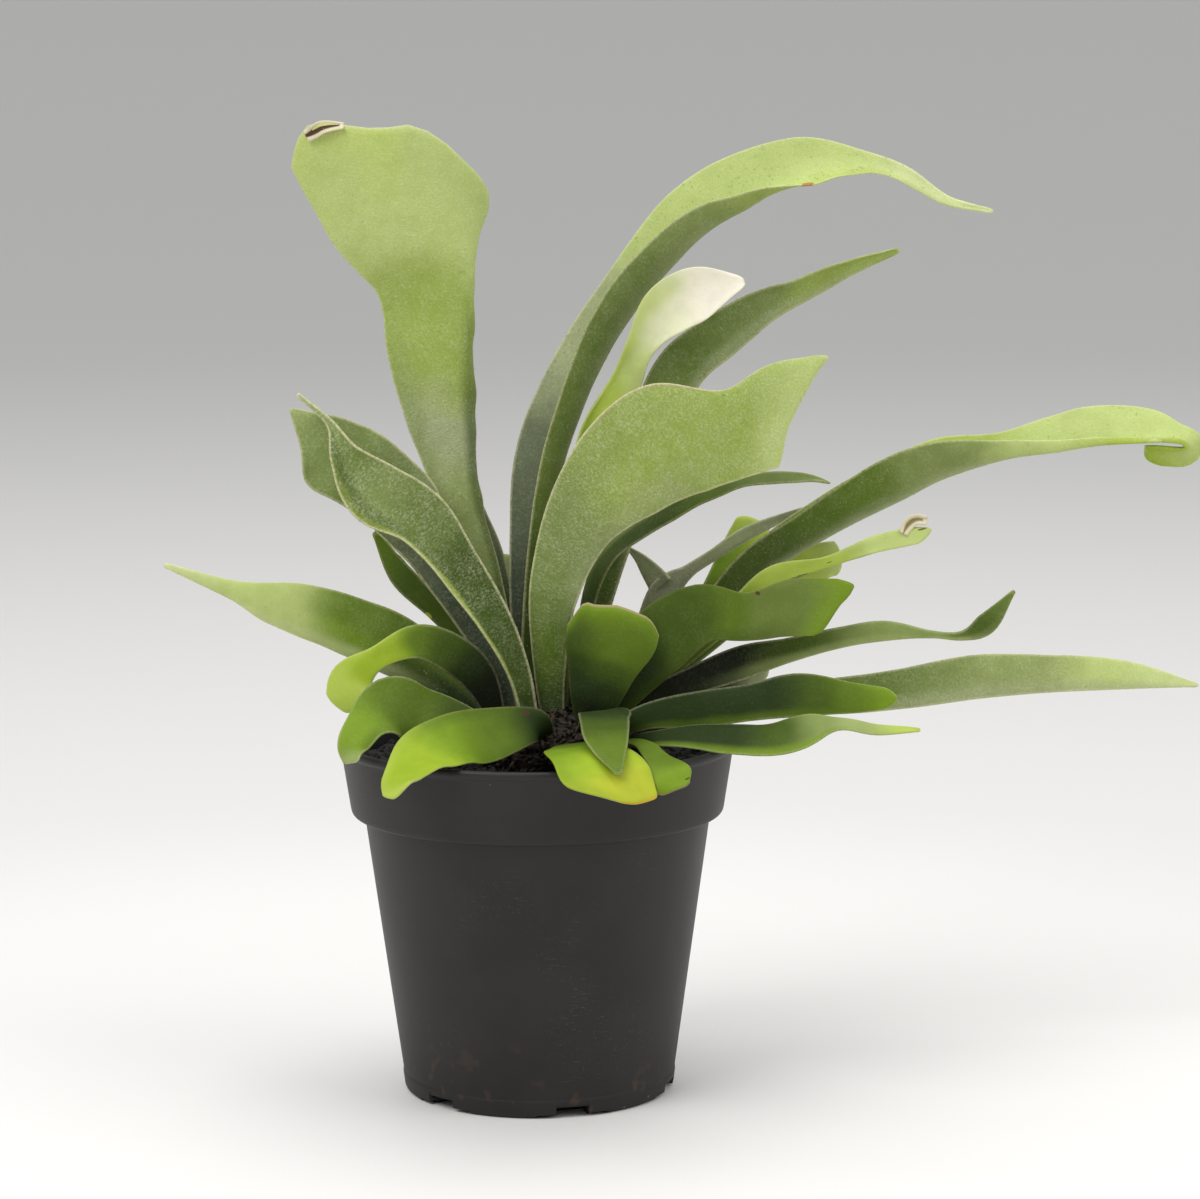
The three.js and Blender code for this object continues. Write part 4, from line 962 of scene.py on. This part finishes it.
look("front_pointed", 0.08, "night deep deep moss leaf leaf")
# The deep band on its left side is painted shade of the folded-back left margin.
look("short_upright", 0.08, "night night deep moss leaf leaf fresh", [[-0.1, -0.9, "deep", 0.6, -0.2, 0.9],
    [0.3, 0.9, "leaf", 0.4, 0.4, 1.1]], edge="rind", end="tan")
look("forked", 0.1, "night deep deep moss moss leaf olive olive fresh", [[0.2, 0.9, "moss", 0.5, 0.0, 0.8]],
    marks=[[0.72, -0.9, 1.0, "brown"]], edge="rind")
look("right_dark", 0.15, "night night night moss felt felt moss olive",
    [[0.0, 0.7, "sage", 0.6, 0.3, 0.85]])
look("right_pale", 0.5, "deep deep moss olive felt sage lemon pale", [[0.1, 0.8, "ash", 0.6, 0.15, 0.95]])
look("right_front", 0.05, "night deep deep deep deep moss leaf fresh",
    [[0.5, 0.95, "leaf", 0.8, 0.15, 0.9]])
look("right_low", 0.06, "night deep deep moss felt sage lime", [[0.4, 0.9, "fresh", 0.75, 0.1, 0.75]],
    lower="night deep deep leaf fresh sage")
look("long_right", 0.35, "deep moss leaf fresh lime lemon lemon lemon bright",
    lower="deep moss moss leaf felt lemon lime lime bright",
    lower_bands=[[0.6, 0.0, "ash", 0.75, 0.03, 0.7]])
look("brown_tip", 0.1, "night deep leaf fresh lime lime lemon lemon", marks=[[0.72, 0.0, 0.8, "brown"],
    [0.985, -0.3, 1.2, "brown"]], lobe="rind bone")
look("back_lime", 0.15, "night night moss fresh lime")
look("back_right", 0.15, "night moss leaf lime lemon")
look("back_forked", 0.4, "deep olive dust dust ash dust", [[0.0, 0.7, "stone", 0.4, 0.3, 0.9]])
look("back_pale", 0.3, "night night deep ash")
look("back_short", 0.2, "night deep moss felt")
look("behind_fan", 0.3, "night slate stone dust")


# %% Frond finish
BAND_FADE = 0.14                 # share of the frond over which a band's ends fade


def face_colour(finish, along, across, stops, bands):
    """Colours from stalk to tip, with bands laid over them."""
    stops = stops.split()
    spread = [(i / (len(stops) - 1), linear(name)) for i, name in enumerate(stops)]
    colour = finish.node("ValToRGB", {"Fac": along}, stops=spread)
    for low, high, name, strength, start, stop in bands:
        cover = across.ramp(low, high) * along.ramp(start - BAND_FADE, start + BAND_FADE)
        cover = cover * along.ramp(stop + BAND_FADE, stop - BAND_FADE) * strength
        colour = finish.mix(colour, name, cover)
    return colour


def frond_finish(name, look):
    finish = Finish(name + "_felt")
    drift = finish.noise(16) - 0.5
    along = finish.attribute("along") + drift * 0.12
    across = finish.attribute("across") + drift * 0.35
    margin, under = finish.attribute("margin"), finish.attribute("under")
    upper, lower = (face_colour(finish, along, across, *look[side]) for side in ("upper", "lower"))
    blade = finish.mix(upper, lower, under.ramp(0.4, 0.6))
    cloud = finish.noise(5, detail=3.0)
    blade = finish.mix(blade, "deep", cloud.ramp(0.62, 0.3) * 0.08)
    streak = finish.noise(1.1, finish.place((0.75, 2.4, 1.0), "UV")).ramp(0.42, 0.68)
    fleck = finish.noise(0.6, detail=3.0).ramp(0.4, 0.72)
    thick = (cloud.ramp(0.34, 0.6) * 0.65 + 0.35) * (along.ramp(0.05, 0.45) * 0.6 + 0.4)
    felt = (streak * 0.4 + fleck * 0.75) * thick * look["felt"]
    colour = finish.mix(blade, "moss", (fleck * -1 + 1) * (0.2 * look["felt"]))
    colour = finish.mix(colour, "silver", felt * 0.5)
    if "lobe" in look:
        hollow, rim = look["lobe"].split()
        dead = finish.mix(rim, hollow, margin.ramp(0.5, 1.3))
        colour = finish.mix(colour, dead, finish.attribute("lobe"))
    fringe = margin.ramp(0.7, 0.1) * (finish.noise(0.8).ramp(0.3, 0.6) * 0.6 + 0.4)
    strength = 0.15 + 0.6 * look["felt"]
    colour = finish.mix(colour, look.get("edge", "fringe"), fringe * strength)
    if "end" in look:
        tip = finish.attribute("along").ramp(0.982, 0.998) * margin.ramp(1.6, 0.3)
        colour = finish.mix(colour, look["end"], tip * 0.8)
    for place, side, size, shade in look.get("marks", []):
        colour = add_mark(finish, colour, place, side, size, shade)
    relief = felt * 0.7 + cloud * 0.5 - vein_lines(finish) * 0.08
    sockets = {"Specular IOR Level": 0.16, "Sheen Weight": 0.05 * look["felt"], "Subsurface Weight": 0.08,
               "Subsurface Radius": (0.7, 1.0, 0.2), "Subsurface Scale": MM}
    return finish.surface(colour, 0.6 + felt * 0.2, relief, 0.2, sockets)


VEIN_GAP = 2.6                   # millimetres from vein to vein, and more along the frond


def vein_lines(finish):
    """A net of fine veins with long meshes, 1 on a vein and 0 between them."""
    waved = finish.noise(6, detail=1.0)
    stretched = finish.place((1.0, 0.28, 1.0), "UV")
    where = finish.node("VectorMath", {0: stretched, 1: waved}, operation="ADD")
    edge = finish.node("TexVoronoi", {"Vector": where, "Scale": 1 / VEIN_GAP}, feature="DISTANCE_TO_EDGE")
    return edge.ramp(0.12, 0.0)


MARK_LENGTH, MARK_WIDTH = 90, 9  # millimetres of blade to one unit of along and of across


def add_mark(finish, colour, place, side, size, shade):
    """A small ragged spot at one place on the blade."""
    along = (finish.attribute("along") - place) * (MARK_LENGTH / size)
    across = (finish.attribute("across") - side) * (MARK_WIDTH / size)
    near = along * along + across * across + (finish.noise(1.2) - 0.5) * 1.2
    return finish.mix(colour, shade, near.ramp(0.9, 0.4) * 0.85)


# %% [markdown]
# ### Making the fronds
# Each frond gets its mesh, its numbers, its own finish and a UV map in millimetres, on which the veins
# are drawn. The piece then takes over from the CAD node of the same name.


def add_uv(piece, numbers):
    """A UV map in millimetres: U across the blade and V along it."""
    corners = np.empty(len(piece.data.loops), np.int32)
    piece.data.loops.foreach_get("vertex_index", corners)
    layer = piece.data.uv_layers.new(name="blade")
    pairs = np.stack([numbers["width"], numbers["travel"]], -1)[corners]
    layer.data.foreach_set("uv", pairs.astype(np.float32).ravel())


LOBE_FROM = 0.6                  # place along a frond whose colour its lobe starts with
FIRST_SEED, LOBE_SEED = 20, 100  # of the soft waves: the first frond's, and what a lobe adds to its own


def frond_piece(frond, seed):
    """One frond, with its side lobe if it has one, coloured as the end of the frond is."""
    parts = [blade_mesh(frond, seed)]
    if "lobe" in frond:
        parts.append(blade_mesh(frond["lobe"], seed + LOBE_SEED))
        parts[1][2]["along"] = LOBE_FROM + (1 - LOBE_FROM) * parts[1][2]["along"]
    points, faces, numbers = [], [], {}
    for i, (part_points, part_faces, part_numbers) in enumerate(parts):
        part_numbers["lobe"] = np.full(len(part_points), float(i))
        faces += [[len(points) + i for i in face] for face in part_faces]
        points += part_points.tolist()
        for key, values in part_numbers.items():
            numbers[key] = np.concatenate([numbers.get(key, []), values])
    name = "blade_" + frond["name"]
    piece = add_object(name, points, faces, frond_finish(name, LOOKS[frond["name"]]))
    for key in ("along", "across", "margin", "under", "lobe"):
        set_attribute(piece, key, numbers[key])
    add_uv(piece, numbers)
    return dress(piece, "frond_" + frond["name"])


blades = {frond["name"]: frond_piece(frond, FIRST_SEED + i) for i, frond in enumerate(FRONDS)}
faces_made = sum(len(b.data.polygons) for b in blades.values())
print("blades:", len(blades), "with", faces_made, "faces")

# %% [markdown]
# ## Star hairs
# Under a lens the felt is a carpet of hairs, each a little star on a short stalk. They are far too
# small to see one by one from here, but they soften the blades' outlines and dust them with grey.
# Each star is four thin closed spikes. The scatter tree strews them where a blade is felted, and ever
# fewer towards its young end.

# %% Star hairs
HAIR = 0.32                      # length of one arm
HAIR_ROOT = 0.03                 # half the width of an arm at its root
HAIR_ARMS, HAIR_TURN = 4, 0.3
HAIR_SEED = 40
HAIR_RISE = 0.16                 # height of the arms' meeting point over the blade
HAIR_FADE = 1.7                  # over 1, so that the hairs stay dense on the lower part of a frond
HAIRS_PER_CM2 = 45
HAIR_GROUPS = {
    "star_hairs_tall": "tall_fan tall_arch back_slim broad_front",
    "star_hairs_left": "left_front left_behind left_long",
    "star_hairs_right": "long_right right_pale back_forked",
}


def star_mesh():
    """Four spikes, each with three sides and a base, that meet over the blade and droop outwards."""
    points, faces = [], []
    for i in range(HAIR_ARMS):
        a = 2 * math.pi * i / HAIR_ARMS + HAIR_TURN
        out, side = np.array([math.cos(a), math.sin(a), 0]), np.array([-math.sin(a), math.cos(a), 0])
        middle = np.array([0, 0, HAIR_RISE])
        first = len(points)
        points += [middle + side * HAIR_ROOT, middle - side * HAIR_ROOT, middle + (0, 0, 1.4 * HAIR_ROOT),
                   out * HAIR + (0, 0, HAIR_RISE * 0.6)]
        faces += [[first + k for k in face] for face in ((0, 1, 2), (1, 0, 3), (2, 1, 3), (0, 2, 3))]
    return points, faces


def felted_copy(name, members):
    """The blades of a group joined in one plain mesh, with the felt's cover kept for each point."""
    points, faces, cover = [], [], []
    for member in members:
        mesh = blades[member].data
        faces += [[len(points) + i for i in p.vertices] for p in mesh.polygons]
        points += [v.co / MM for v in mesh.vertices]
        along = np.array([value.value for value in mesh.attributes["along"].data])
        cover += (LOOKS[member]["felt"] * np.clip(HAIR_FADE * (1 - along), 0, 1)).tolist()
    bed = add_object(name, points, faces, HAIR_FINISH)
    set_attribute(bed, "cover", cover)
    return bed


hair = Finish("star_hair")
hair_colour = hair.mix("#929f75", "#bac29d", hair.noise(3).ramp(0.3, 0.7))
HAIR_FINISH = hair.surface(hair_colour, 0.8)
star = add_object("star", *star_mesh(), HAIR_FINISH)
for i, (name, members) in enumerate(HAIR_GROUPS.items()):
    scatter(name, felted_copy(name, members.split()), star, HAIR_FINISH, HAIRS_PER_CM2,
            sizes=(0.7, 1.3), lean=0.3, seed=HAIR_SEED + i)
bpy.data.objects.remove(star)

# %% [markdown]
# ## Sizes
# The boxes of the CAD model and of the dressed model are printed side by side. The dressed model
# has to stay as large as the CAD model.

# %% Sizes
boxes = {"cad": [list(corner) for corner in cad_box], "visual": [list(corner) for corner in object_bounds()]}
for name, corners in boxes.items():
    print(name, "box in mm:", [[round(c / MM, 1) for c in corner] for corner in corners])
